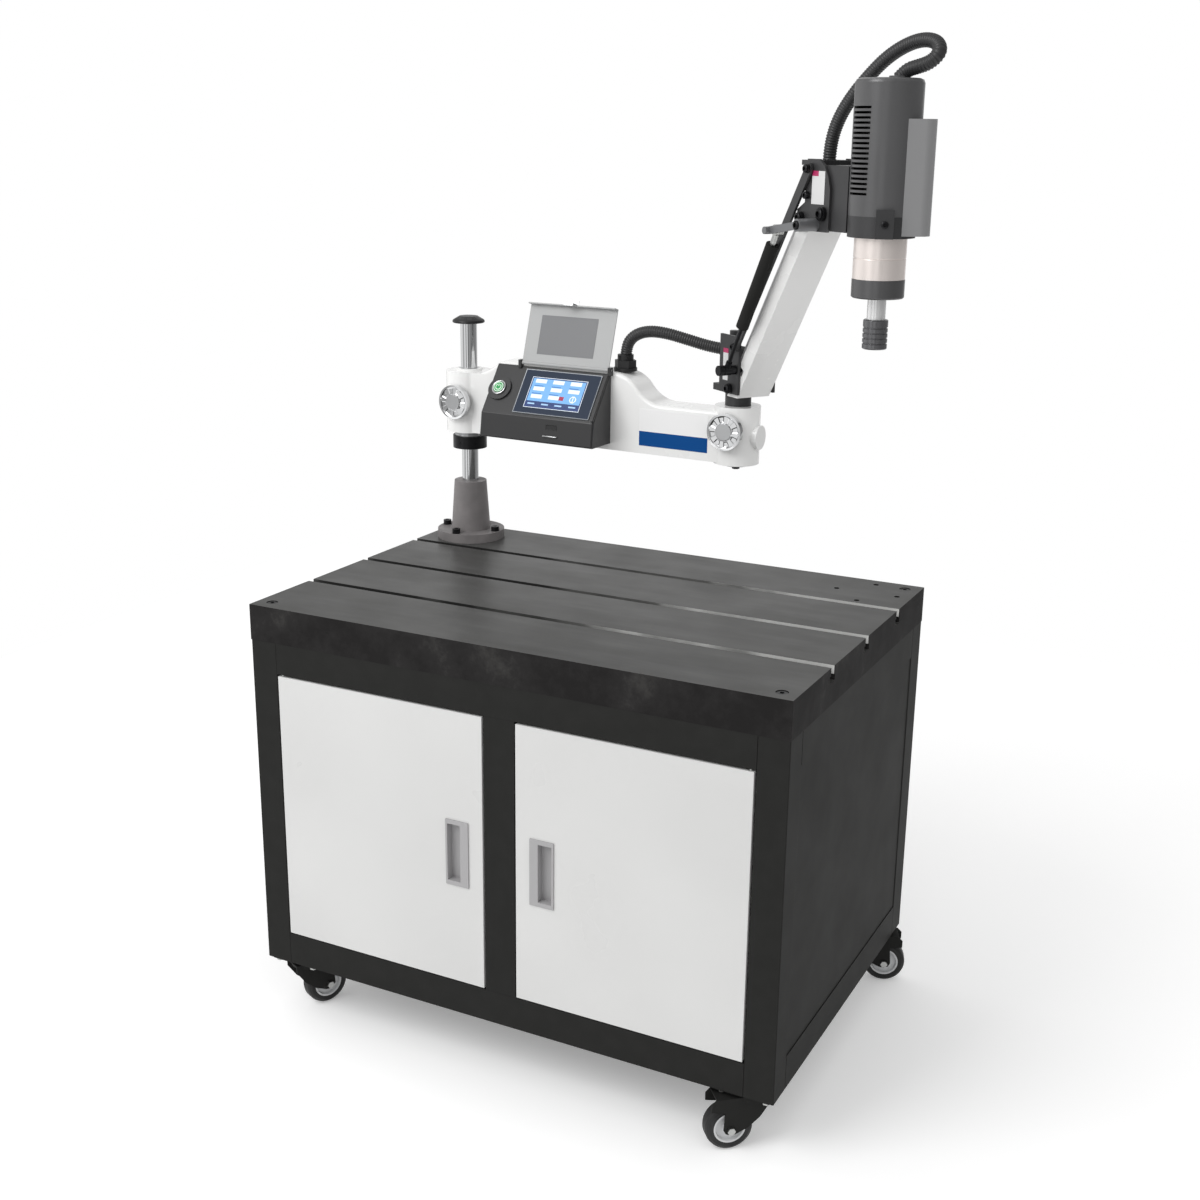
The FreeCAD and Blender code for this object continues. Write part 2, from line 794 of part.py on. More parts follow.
def column():
    """A flanged cone bolted to the worktop, the ground post in it, and a mushroom cap."""
    base = turned([(v.post_radius, 0), (v.flange_radius, 0), (v.flange_radius, v.flange_thick),
                   (v.cone_foot, v.flange_thick), (v.cone_neck, v.cone_top), (v.post_radius, v.cone_top)])
    holes = []
    bolts = []
    seat = v.flange_thick - v.bolt_sink_deep
    for x, y in cross_places(0, 0, v.bolt_circle / 2):
        holes.append(rod(v.bolt_radius, v.flange_thick, (x, y, 0)))
        holes.append(rod(v.bolt_sink_radius, v.bolt_sink_deep, (x, y, seat)))
        bolts.append(socket_screw(v.bolt_head_radius, v.bolt_head_high, v.bolt_radius,
                                  seat + v.bolt_depth, (x, y, seat)))
    node("column_base", COLUMN, cut(base, *holes))
    node("column_bolts", COLUMN, *bolts)
    post_top = v.cap_low + v.cap_seat
    node("column_post", COLUMN, rod(v.post_radius, post_top))
    edge = v.cap_low + v.cap_edge
    top = v.cap_low + v.cap_high
    cap = turned([(v.post_radius, v.cap_low), (v.cap_radius, v.cap_low), (v.cap_radius, edge),
                  (v.cap_dome, top), (0, top), (0, post_top), (v.post_radius, post_top)])
    node("column_cap", COLUMN, cap)


def height_stop():
    """A clamped collar that sets the height of the arm, and the thrust bearing on it."""
    bore = v.post_radius + v.running
    top = v.collar_low + v.collar_high
    ring = turned([(bore, v.collar_low), (v.collar_radius, v.collar_low), (v.collar_radius, top), (bore, top)])
    middle = v.collar_low + v.collar_high / 2
    screw_long = v.collar_radius - bore - v.clearance * 4
    hole = rod(v.collar_screw_radius, v.collar_radius, (0, -v.collar_radius, middle), "y")
    screw = rod(v.collar_screw_radius, screw_long, (0, -v.collar_radius + v.clearance * 4, middle), "y")
    node("stop_collar", COLUMN, cut(ring, hole), screw)
    inner = v.post_radius + v.clearance
    face = v.carrier_low - v.clearance
    half = (top + face) / 2
    waist = v.bearing_radius - v.bearing_groove
    bearing = turned([(inner, top), (v.bearing_radius, top), (v.bearing_radius, half - 1), (waist, half - 1),
                      (waist, half + 1), (v.bearing_radius, half + 1), (v.bearing_radius, face), (inner, face)])
    node("thrust_bearing", COLUMN, bearing)


# ---------------------------------------------------------------- first arm

def point(x, y, z):
    """A vector of the numbers of three sizes."""
    return FreeCAD.Vector(*(as_size(value).number for value in (x, y, z)))


def arm_side_face():
    """The side view of the first arm: carrier shoulder, hump, and a swan neck down to the barrel."""
    front = -v.arm_front
    low = v.carrier_low + 1
    drop = v.hump_high - v.barrel_arm_high
    run = v.swan_end - v.hump_end
    middle = point(v.hump_end + run / 2, front, v.barrel_arm_high + drop / 2)
    radius = (run.number ** 2 + drop.number ** 2) / (4 * drop.number)
    half_turn = math.atan2(drop.number, run.number)
    step_x = radius * math.sin(half_turn)
    step_z = radius * (1 - math.cos(half_turn))
    start = point(v.hump_end, front, v.hump_high)
    end = point(v.swan_end, front, v.barrel_arm_high)
    upper = FreeCAD.Vector(start.x + step_x, start.y, start.z - step_z)
    lower = FreeCAD.Vector(end.x - step_x, end.y, end.z + step_z)
    shoulder = point(v.carrier_radius, front, v.carrier_high)
    hump = point(v.hump_start, front, v.hump_high)
    dip = shoulder * 0.62 + hump * 0.38 - FreeCAD.Vector(0, 0, 3)
    corners = [point(0, front, v.carrier_high), point(0, front, low),
               point(v.arm_reach, front, low), point(v.arm_reach, front, v.barrel_arm_high)]
    edges = [
        Part.makeLine(corners[0], corners[1]),
        Part.makeLine(corners[1], corners[2]),
        Part.makeLine(corners[2], corners[3]),
        Part.makeLine(corners[3], end),
        Part.Arc(end, lower, middle).toShape(),
        Part.Arc(middle, upper, start).toShape(),
        Part.makeLine(start, hump),
        Part.Arc(hump, dip, shoulder).toShape(),
        Part.makeLine(shoulder, corners[0]),
    ]
    return Part.Face(Part.Wire(edges))


def first_arm():
    width = (v.arm_front + v.arm_back).number
    beam = arm_side_face().extrude(FreeCAD.Vector(0, width, 0))
    above_hump = (v.hump_high + v.arm_front).number
    soft = [edge for edge in beam.Edges
            if edge.BoundBox.YLength < 0.01 and edge.BoundBox.XLength > 1 and edge.BoundBox.ZMax < above_hump
            and edge.BoundBox.XMin > v.carrier_radius.number - 1]
    beam = solid("ArmBeam", beam.makeFillet(v.arm_round.number, soft))
    carrier = rod(v.carrier_radius, v.carrier_high - v.carrier_low, (0, 0, v.carrier_low))
    ring = rod(v.carrier_ring, v.carrier_ring_high, (0, 0, v.carrier_high))
    barrel = rod(v.barrel_radius, v.barrel_high - v.barrel_low, (v.arm_reach, 0, v.barrel_low))
    side_cap = rod(v.side_cap_radius, v.side_cap_out, (v.arm_reach, 0, v.side_cap_high), "x")
    column_bore = v.post_radius + v.bush_wall
    shaft_bore = v.shaft_radius + v.bush_wall
    tall = v.hump_high - v.barrel_low
    bores = [rod(column_bore, tall, (0, 0, v.barrel_low)), rod(shaft_bore, tall, (v.arm_reach, 0, v.barrel_low))]
    stems = [rod(v.knob_stem + v.running, v.carrier_radius, (x, -v.carrier_radius, v.knob_high), "y")
             for x in (as_size(0), v.arm_reach)]
    node("arm_casting", ARM, cut(fuse(beam, carrier, ring, barrel, side_cap), *bores, *stems))

    bushes = []
    top = v.carrier_high + v.carrier_ring_high
    for x, inner, low, high in ((as_size(0), v.post_radius, v.carrier_low, top),
                                (v.arm_reach, v.shaft_radius, v.barrel_low, v.barrel_high)):
        for start in (low, high - v.bush_long):
            bushes.append(turned([(inner + v.running, 0), (inner + v.bush_wall, 0),
                                  (inner + v.bush_wall, v.bush_long), (inner + v.running, v.bush_long)],
                                 (x, 0, start)))
    node("arm_bushes", ARM, *bushes)
    for name, x, inner in (("column_knob", as_size(0), v.post_radius),
                           ("swivel_knob", v.arm_reach, v.shaft_radius)):
        tip = inner + v.running + v.clearance
        knob = turned([(0, tip), (v.knob_stem, tip), (v.knob_stem, v.knob_back), (v.knob_radius, v.knob_back),
                       (v.knob_radius, v.knob_face - 3), (v.knob_radius - 3, v.knob_face),
                       (v.knob_radius - 6, v.knob_face - 2), (v.knob_boss, v.knob_face - 3),
                       (v.knob_boss, v.knob_boss_out), (0, v.knob_boss_out)], (x, 0, v.knob_high), "x", 90)
        node(name, ARM, knob)


# The slanted face of the control box: its middle, and its lean from the upright.
slant_rise = v.box_top - v.box_crease
slant_run = v.box_crease_deep - v.box_top_deep
SLANT = math.degrees(math.atan2(slant_run.number, slant_rise.number))
slant_y = -(v.arm_front + (v.box_top_deep + v.box_crease_deep) / 2)
slant_z = (v.box_top + v.box_crease) / 2
cover_hinge_y = -(v.arm_front + v.box_top_deep)
cover_hinge_z = v.box_top + v.cover_hinge_up


def control_box():
    """A folded steel box on the front of the arm, with a sloping face for the screen."""
    front = -v.arm_front.number
    profile = [point(v.box_start, front, v.box_low),
               point(v.box_start, front - v.box_front_deep.number, v.box_low),
               point(v.box_start, front - v.box_crease_deep.number, v.box_crease),
               point(v.box_start, front - v.box_top_deep.number, v.box_top),
               point(v.box_start, front, v.box_top)]
    face = Part.Face(Part.makePolygon(profile + profile[:1]))
    along = FreeCAD.Vector((v.box_end - v.box_start).number, 0, 0)
    outer = face.extrude(along)
    soft = [edge for edge in outer.Edges if edge.BoundBox.YMax < front - 1]
    outer = outer.makeFillet(4, soft)
    inner = face.makeOffset2D(-v.box_wall.number)
    inner.translate(FreeCAD.Vector(v.box_wall.number, 0, 0))
    inner = inner.extrude(along - FreeCAD.Vector(2 * v.box_wall.number, 0, 0))
    shell = solid("BoxShell", outer.cut(inner))
    wall = v.box_wall
    back = block((v.box_start + wall, v.box_end - wall), (-v.arm_front - wall * 1.5, -v.arm_front),
                 (v.box_low + wall, v.box_top - wall))
    dome = on_slant(rod(v.button_dome, v.button_dome_out + wall), v.button_x, -wall)
    ring = on_slant(rod(v.button_ring, v.button_dome_out + 2 + wall), v.button_x, -wall)
    bore = on_slant(rod(v.button_radius + v.clearance, v.button_long * 2), v.button_x, -v.button_long)
    lugs = []
    half = v.cover_wide / 2 + v.clearance
    for low in (v.cover_middle - half - v.cover_lug, v.cover_middle + half):
        lug = block((low, low + v.cover_lug), (cover_hinge_y - v.cover_hinge_radius * 1.5, -v.arm_front),
                    (v.box_top - wall, cover_hinge_z + v.cover_hinge_radius * 1.5))
        lugs.append(cut(lug, rod(v.cover_pin_radius + v.running, v.cover_lug,
                                 (low, cover_hinge_y, cover_hinge_z), "x")))
    screen_room = screen_slab()
    box = cut(fuse(cut(shell, back), dome, ring), bore, screen_room)
    node("control_box", ARM, fuse(box, *lugs))
    node("touch_screen", ARM, screen_slab())
    button = on_slant(rod(v.button_radius, v.button_long), v.button_x, v.button_out - v.button_long)
    node("power_button", ARM, button)
    board_y = -v.arm_front - v.board_off
    middle = (v.box_start + v.box_end) / 2
    half_board = v.board_long / 2
    board = block((middle - half_board, middle + half_board), (board_y - v.sheet, board_y),
                  (v.board_low, v.board_low + v.board_high))
    chips = block((middle - half_board * 0.4, middle + half_board * 0.3), (board_y - v.sheet * 5, board_y),
                  (v.board_low + 8, v.board_low + v.board_high * 0.5))
    feet = []
    for x in (middle - half_board + 6, middle + half_board - 6):
        for z in (v.board_low + 6, v.board_low + v.board_high - 6):
            feet.append(rod(3, v.board_off, (x, board_y, z), "y"))
    node("control_board", ARM, fuse(board, chips, *feet))


def on_slant(obj, x, out):
    """Turns an upright piece square to the sloping face, `out` above it."""
    lean = 90 - SLANT
    y = slant_y - out * math.sin(math.radians(lean))
    z = slant_z + out * math.cos(math.radians(lean))
    return place(obj, (x, y, z), "x", lean)


def screen_slab():
    half_wide = v.screen_wide / 2
    half_high = v.screen_high / 2
    obj = block((-half_wide, half_wide), (-half_high, half_high), (-v.screen_sunk, v.screen_proud))
    return on_slant(fuse_turned(obj), v.screen_middle, 0)


def fuse_turned(obj):
    """Wraps a piece that has a place of its own, so that it can be turned as a whole."""
    wrap = doc.addObject("Part::Compound", "Wrap")
    wrap.Links = [obj]
    return wrap


def screen_cover():
    """A hinged cover that folds down over the screen. It stands open, leaning back."""
    half = v.cover_wide / 2
    thick = v.cover_thick
    sheet_part = block((-half, half), (-thick / 2, thick / 2), (v.cover_hinge_radius - 1, v.cover_long))
    lip = block((-half, half), (-v.cover_lip, thick / 2), (v.cover_long - thick, v.cover_long))
    tab = block((-10, 10), (-v.cover_lip - 10, -v.cover_lip + 1), (v.cover_long - thick, v.cover_long))
    barrel = rod(v.cover_hinge_radius, v.cover_wide, (-half, 0, 0), "x")
    pin = rod(v.cover_pin_radius, v.cover_wide + 2 * v.cover_lug, (-half - v.cover_lug, 0, 0), "x")
    cover = fuse(sheet_part, lip, tab, barrel, pin)
    place(cover, (v.cover_middle, cover_hinge_y, cover_hinge_z), "x", -v.cover_lean)
    node("screen_cover", ARM, cover)


def cable_gland():
    """A screwed gland on the hump that the cable conduit comes out of."""
    nut_low = v.gland_base_high
    neck_low = nut_low + v.gland_nut_high
    body = fuse(rod(v.gland_base, v.gland_base_high), hexagon(v.gland_nut, v.gland_nut_high, (0, 0, nut_low)),
                rod(v.gland_neck, v.gland_neck_high, (0, 0, neck_low)))
    room = rod(v.hose_radius + v.clearance, v.gland_nut_high + v.gland_neck_high, (0, 0, nut_low))
    node("cable_gland", ARM, place(cut(body, room), (v.gland_x, 0, v.hump_high), "z", 15))


# ---------------------------------------------------------------- second arm

low_pivot = (v.low_pivot_reach, v.low_pivot_high)
top_pivot = (v.low_pivot_reach + v.link_length * cosine(v.lift_angle),
             v.low_pivot_high + v.link_length * sine(v.lift_angle))


# Sizes of the head are kept from the top pivot, so that the head goes with a longer or steeper arm.
for name in ("head_plate_back", "head_plate_front", "mount_back", "holder_front", "holder_reach",
             "spacer_reach", "clamp_bolt_reach", "motor_reach", "inlet_reach"):
    setattr(v, name, top_pivot[0] + getattr(v, name))
for name in ("head_plate_low", "head_plate_top", "mount_low", "mount_top", "spacer_high",
             "clamp_bolt_high", "motor_seam", "motor_top", "vent_first", "cover_low", "cover_top",
             "grip_top", "ring_low", "gear_low", "nose_low", "rotor_low", "rotor_top", "spindle_top",
             "chuck_low", "sleeve_low"):
    setattr(v, name, top_pivot[1] + getattr(v, name))


def beside(pivot, reach, high):
    return (pivot[0] + reach, pivot[1] + high)


upper_low = beside(low_pivot, v.upper_link_reach, v.upper_link_high)
upper_top = beside(top_pivot, v.upper_link_reach, v.upper_link_high)
stay_low = beside(low_pivot, v.stay_reach, v.stay_high)
stay_top = beside(top_pivot, v.stay_reach, v.stay_high)
gas_top = beside(top_pivot, v.gas_top_reach, v.gas_top_high)


def pin(radius, spot, low, high):
    """A round pin along y at a (reach, height) spot, between two y values."""
    return rod(radius, as_size(high) - low, (spot[0], low, spot[1]), "y")


def tilted(obj, spot, angle):
    """Turns a piece made along x up to an angle about a spot."""
    return place(obj, (spot[0], 0, spot[1]), "y", -angle)


side_outer = v.side_inner + v.side_thick


def swivel_bracket():
    """The upright bracket that turns in the barrel and carries all the low pivots."""
    shaft = rod(v.shaft_radius, v.swivel_head_top - v.barrel_low, (0, 0, v.barrel_low))
    head_low = v.barrel_high + v.clearance
    head = rod(v.swivel_radius, v.swivel_head_top - head_low, (0, 0, head_low))
    bridge = block((-v.bridge_back, v.bridge_front), (-side_outer, side_outer),
                   (v.swivel_head_top, v.swivel_head_top + v.bridge_thick))
    sides = [block((-v.side_back, v.side_front), (low, low + v.side_thick), (v.swivel_head_top, v.side_top))
             for low in (-side_outer, v.side_inner)]
    post = rod(v.tie_post_radius, v.tie_post_top - v.swivel_head_top, (0, -v.tie_post_off, v.swivel_head_top))
    holes = [pin(v.pivot_radius, low_pivot, -side_outer, side_outer),
             pin(v.link_pin_radius, upper_low, -side_outer, side_outer),
             pin(v.link_pin_radius, stay_low, -side_outer, 0)]
    washer_top = v.barrel_low - v.clearance * 2
    washer_low = washer_top - 4
    keeper = fuse(rod(v.swivel_radius, 4, (0, 0, washer_low)), hexagon(7, 7, (0, 0, washer_low - 7)),
                  rod(4, 24, (0, 0, washer_low)))
    bore = rod(4, 20 + v.clearance * 2, (0, 0, v.barrel_low))
    node("swivel_bracket", LIFT, cut(fuse(shaft, head, bridge, post, *sides), *holes, bore), keeper)

    inner = v.arm_half - v.arm_wall - v.clearance
    pins = []
    for side in (-1, 1):
        ends = sorted((side * inner, side * side_outer), key=lambda value: value.number)
        caps = sorted((side * side_outer, side * (side_outer + v.pivot_head_high)), key=lambda value: value.number)
        pins.append(fuse(pin(v.pivot_radius, low_pivot, *ends), pin(v.pivot_head, low_pivot, *caps)))
    gas_out = v.gas_off + v.gas_eye_half + v.clearance
    gas_in = v.gas_off - v.gas_eye_half - v.clearance
    pins.append(fuse(pin(v.link_pin_radius, upper_low, -gas_out, side_outer),
                     pin(v.pivot_head, upper_low, side_outer, side_outer + v.pivot_head_high),
                     pin(v.pivot_head - 1, upper_low, -gas_in, -side_outer),
                     pin(v.pivot_head, upper_low, -gas_out - 10, -gas_out)))
    link_out = v.stay_off + v.stay_thick + v.clearance
    pins.append(fuse(pin(v.link_pin_radius, stay_low, -link_out, -v.side_inner),
                     pin(v.pivot_head - 2, stay_low, -link_out - 4, -link_out)))
    node("pivot_pins", LIFT, *pins)


def lifting_links():
    """The channel arm, the bar in it and the flat stay: three equal links that keep the head upright."""
    half = v.arm_half
    wall = v.arm_wall
    end = v.link_length + v.arm_tip
    outer = block((-v.arm_tail, end), (-half, half), (-v.web_drop, v.wall_rise))
    inner = block((-v.arm_tail - 1, end + 1), (wall - half, half - wall), (wall - v.web_drop, v.wall_rise + 1))
    notch = block((v.notch_from, v.notch_to), (-half, half), (v.notch_floor, v.wall_rise + 1))
    holes = [rod(v.pivot_radius + v.running, 2 * half, (x, -half, 0), "y") for x in (as_size(0), v.link_length)]
    channel = tilted(cut(outer, inner, notch, *holes), low_pivot, v.lift_angle)
    below = block((-60, 80), (-half, half), (v.tail_cut - 60, v.tail_cut))
    node("main_arm", LIFT, cut(channel, below))

    bar_y = -v.bar_off
    radius = v.bar_radius
    rise = v.bar_rise
    bar = fuse(rod(radius, v.link_length, (0, bar_y, 0), "x"), rod(radius, v.link_length, (0, bar_y, rise), "x"),
               block((0, v.link_length), (bar_y - radius, bar_y + radius), (0, rise)),
               *[rod(radius, 2 * radius, (x, bar_y - radius, 0), "y") for x in (as_size(0), v.link_length)])
    eyes = [rod(v.link_pin_radius + v.running, 2 * radius, (x, bar_y - radius, 0), "y")
            for x in (as_size(0), v.link_length)]
    node("upper_arm", LIFT, tilted(cut(bar, *eyes), upper_low, v.lift_angle))

    stay_y = -v.stay_off - v.stay_thick
    width = v.stay_half
    flat = fuse(block((0, v.link_length), (stay_y, stay_y + v.stay_thick), (-width, width)),
                *[rod(width, v.stay_thick, (x, stay_y, 0), "y") for x in (as_size(0), v.link_length)])
    eyes = [rod(v.link_pin_radius + v.running, v.stay_thick, (x, stay_y, 0), "y")
            for x in (as_size(0), v.link_length)]
    node("stay_link", LIFT, tilted(cut(flat, *eyes), stay_low, v.lift_angle))


gas_dx = (gas_top[0] - upper_low[0]).number
gas_dz = (gas_top[1] - upper_low[1]).number
GAS_ANGLE = math.degrees(math.atan2(gas_dz, gas_dx))
GAS_LENGTH = math.hypot(gas_dx, gas_dz)


def gas_spring():
    """A pull-type gas spring that carries the weight of the second arm and the head."""
    y = -v.gas_off
    eye = v.gas_eye
    half = v.gas_eye_half
    rod_end = v.gas_tube_start + v.gas_rod_inside
    lower = fuse(rod(eye, 2 * half, (0, y - half, 0), "y"), rod(eye * 0.6, eye * 2, (0, y, 0), "x"),
                 rod(v.gas_rod_radius, rod_end, (0, y, 0), "x"))
    lower = cut(lower, rod(v.link_pin_radius + v.running, 2 * half, (0, y - half, 0), "y"))
    node("gas_rod", LIFT, tilted(lower, upper_low, GAS_ANGLE))
    tube_end = GAS_LENGTH - v.gas_tube_gap
    tube_long = tube_end - v.gas_tube_start
    tube = cut(rod(v.gas_tube_radius, tube_long, (v.gas_tube_start, y, 0), "x"),
               rod(v.gas_bore, tube_long - v.gas_tube_end, (v.gas_tube_start, y, 0), "x"))
    fork = fuse(tube, rod(eye, 2 * half, (GAS_LENGTH, y - half, 0), "y"),
                rod(eye * 0.6, GAS_LENGTH - tube_end, (tube_end, y, 0), "x"))
    fork = cut(fork, rod(4 + v.running, 2 * half, (GAS_LENGTH, y - half, 0), "y"))
    node("gas_cylinder", LIFT, tilted(fork, upper_low, GAS_ANGLE))


# ---------------------------------------------------------------- head

def around_motor(obj, turn):
    """Turns a piece made on the motor's own axis about that axis."""
    return place(fuse_turned(obj), (v.motor_reach, 0, 0), "z", turn)


def head_bracket():
    """Two side plates, the block between them and the ring that holds the motor and gearbox."""
    back = v.head_plate_back
    front = v.head_plate_front
    low = v.head_plate_low
    top = v.head_plate_top
    shape = [(back, low), (front - 4, low), (front, low + 4), (front, top - 45), (front - 6, top - 26),
             (front - 16, top - 11), (front - 32, top), (back + 23, top), (back + 20, top - 30),
             (back + 20, low + 44), (back, low + 32)]
    sides = [padded(shape, "XZ_Plane", v.side_thick, (0, high, 0)) for high in (-v.side_inner, side_outer)]
    block_y = (-v.side_inner, v.side_inner)
    mount = block((v.mount_back, v.motor_reach - v.motor_radius + 8), block_y, (v.mount_low, v.mount_top))
    holder = block((back, v.holder_front), block_y, (top - v.holder_thick - 2, top - 2))
    ring = rod(v.motor_radius, v.motor_seam - v.ring_low, (v.motor_reach, 0, v.ring_low))
    grip = around_motor(block((v.gear_radius, v.grip_out), (-v.grip_half, v.grip_half), (v.ring_low, v.grip_top)),
                        v.grip_turn)
    hose_room = rod(v.hose_radius + v.hose_slack, v.holder_thick * 2,
                    (v.holder_reach, v.holder_side, top - v.holder_thick * 2))
    tools = [rod(v.motor_radius, v.motor_top - v.motor_seam, (v.motor_reach, 0, v.motor_seam)),
             rod(v.gear_radius, v.motor_seam - v.ring_low, (v.motor_reach, 0, v.ring_low)),
             hose_room,
             pin(v.pivot_radius, top_pivot, -side_outer, side_outer),
             pin(v.link_pin_radius, upper_top, -side_outer, 0),
             pin(v.link_pin_radius, stay_top, -side_outer, 0)]
    node("head_bracket", LIFT, cut(fuse(*sides, mount, holder, ring, grip), *tools))

    inner = v.arm_half - v.arm_wall - v.clearance
    pins = []
    for side in (-1, 1):
        ends = sorted((side * inner, side * side_outer), key=lambda value: value.number)
        caps = sorted((side * side_outer, side * (side_outer + v.pivot_head_high)), key=lambda value: value.number)
        pins.append(fuse(pin(v.pivot_radius, top_pivot, *ends), pin(v.pivot_head, top_pivot, *caps)))
    bar_in = v.bar_radius - v.bar_off + v.clearance
    pins.append(fuse(pin(v.link_pin_radius, upper_top, -side_outer, bar_in),
                     pin(v.pivot_head - 2, upper_top, bar_in, bar_in + 2),
                     pin(v.pivot_head - 3, upper_top, -side_outer - v.pivot_head_high + 1, -side_outer)))
    link_out = v.stay_off + v.stay_thick + v.clearance
    pins.append(fuse(pin(v.link_pin_radius, stay_top, -link_out, -v.side_inner),
                     pin(v.pivot_head - 2, stay_top, -link_out - 4, -link_out)))
    bolt = (v.clamp_bolt_reach, v.clamp_bolt_high)
    pins.append(pin(v.clamp_bolt_radius, bolt, -side_outer - v.pivot_head_high, -side_outer))
    node("head_pins", LIFT, *pins)


def gas_lever():
    """The outboard lever that the top of the gas spring pulls on."""
    outer = v.lever_off + v.lever_thick
    dx = (gas_top[0] - v.spacer_reach).number
    dz = (gas_top[1] - v.spacer_high).number
    length = math.hypot(dx, dz)
    angle = math.degrees(math.atan2(dz, dx))
    width = v.lever_half
    bar = fuse(block((0, length), (-outer, -v.lever_off), (-width, width)),
               rod(width, v.lever_thick, (length, -outer, 0), "y"))
    spot = (v.spacer_reach, v.spacer_high)
    bar = tilted(bar, spot, angle)
    eye_in = v.gas_off - v.gas_eye_half - v.clearance
    node("gas_lever", LIFT, fuse(bar, pin(v.spacer_radius, spot, -outer, -side_outer),
                                 pin(4, gas_top, -outer - 2, -eye_in), pin(6, gas_top, -outer - 8, -outer),
                                 pin(6, gas_top, -eye_in, 2 - eye_in)))


def motor():
    radius = v.motor_radius
    wall = v.motor_wall
    inner = radius - wall
    seam = v.motor_seam
    top = v.motor_top
    edge = v.motor_edge
    boss_low = top - wall - v.bearing_boss_high
    shaft = v.rotor_shaft + v.running
    shell = turned([(inner, seam), (radius, seam), (radius, top - edge), (radius - edge * 0.3, top - edge * 0.3),
                    (radius - edge, top), (0, top), (0, top - wall), (shaft, top - wall), (shaft, boss_low),
                    (v.bearing_boss, boss_low), (v.bearing_boss, top - wall), (inner, top - wall)],
                   (v.motor_reach, 0, 0))
    inlet = rod(v.inlet_ring, wall, (v.inlet_reach, v.inlet_side, top))
    inlet_room = rod(v.hose_radius + v.clearance, wall, (v.inlet_reach, v.inlet_side, top))
    vents = []
    for i in range(SIZES["vent_count"]):
        low = v.vent_first + i * v.vent_pitch
        vents.append(block((v.motor_reach - v.vent_wide / 2, v.motor_reach + v.vent_wide / 2),
                           (-radius, -radius * 0.6), (low, low + v.vent_high)))
    node("motor_housing", LIFT, cut(fuse(shell, inlet), inlet_room, *vents))

    half = v.cover_half
    shape = [(radius * 0.4, -half), (v.cover_out, -half), (v.cover_out, half), (radius * 0.4, half)]

    def outer_corner(line):
        return upright(line) and line.Vertexes[0].Point.x > radius.number

    cover = padded(shape, "XY_Plane", v.cover_top - v.cover_low, (0, 0, v.cover_low),
                   radius=v.cover_round, choose=outer_corner)
    room = rod(radius, v.cover_top - v.cover_low, (v.motor_reach, 0, v.cover_low))
    node("motor_cover", LIFT, cut(around_motor(cover, v.cover_turn), room))

    axis = (v.motor_reach, 0, 0)
    rotor = turned([(0, seam - 12), (v.rotor_shaft, seam - 12), (v.rotor_shaft, v.rotor_low),
                    (v.rotor_radius, v.rotor_low), (v.rotor_radius, v.rotor_top), (v.rotor_shaft, v.rotor_top),
                    (v.rotor_shaft, top - wall - v.clearance), (0, top - wall - v.clearance)], axis)
    node("motor_rotor", LIFT, rotor)
    gear = v.gear_radius
    hollow = gear - v.gear_wall
    groove = (v.gear_low + v.ring_low) / 2
    housing = turned([(shaft, seam), (gear, seam), (gear, groove + 0.8), (gear - 1, groove + 0.8),
                      (gear - 1, groove - 0.8), (gear, groove - 0.8), (gear, v.gear_low),
                      (hollow, v.gear_low), (hollow, seam - v.gear_wall), (shaft, seam - v.gear_wall)], axis)
    node("gearbox_housing", LIFT, housing)
    bore = v.spindle_radius + v.running
    nose = turned([(bore, v.nose_low), (v.nose_radius - 2, v.nose_low), (v.nose_radius, v.nose_low + 2),
                   (v.nose_radius, v.gear_low), (bore, v.gear_low)], axis)
    node("nose_ring", LIFT, nose)


def chuck():
    """The spindle with its quick-change chuck, and the sleeve that is pushed up to release a tap."""
    axis = (v.motor_reach, 0, 0)
    floor = v.chuck_low + v.tap_bore_deep
    neck = v.nose_low - v.clearance
    body = turned([(v.tap_bore, v.chuck_low), (v.chuck_radius, v.chuck_low), (v.chuck_radius, neck),
                   (v.spindle_radius, neck), (v.spindle_radius, v.spindle_top), (0, v.spindle_top),
                   (0, floor), (v.tap_bore, floor)], axis)
    node("chuck_body", LIFT, body)
    inner = v.chuck_radius + v.running
    top = v.sleeve_low + v.sleeve_high
    edge = 1.5
    sleeve = turned([(inner, v.sleeve_low), (v.sleeve_radius - edge, v.sleeve_low),
                     (v.sleeve_radius, v.sleeve_low + edge), (v.sleeve_radius, top - edge),
                     (v.sleeve_radius - edge, top), (inner, top)], axis)
    node("chuck_sleeve", LIFT, sleeve)


# ---------------------------------------------------------------- cable conduit

def rounded_path(points, share=0.45):
    """Straight runs joined by tangent arcs. Each arc is as large as its two runs allow."""
    edges = []
    radii = []
    length = 0
    here = points[0]
    for before, corner, after in zip(points, points[1:], points[2:]):
        arriving = (corner - before).normalize()
        leaving = (after - corner).normalize()
        turn = arriving.getAngle(leaving)
        shorter = min((corner - before).Length, (after - corner).Length)
        back = share * shorter
        radius = back / math.tan(turn / 2)
        radii.append(round(radius))
        start = corner - arriving * back
        end = corner + leaving * back
        inward = (leaving - arriving).normalize()
        centre_far = math.hypot(back, radius)
        middle = corner + inward * (centre_far - radius)
        edges.append(Part.makeLine(here, start))
        edges.append(Part.Arc(start, middle, end).toShape())
        here = end
    edges.append(Part.makeLine(here, points[-1]))
    length = sum(edge.Length for edge in edges)
    return Part.Wire(edges), radii, length


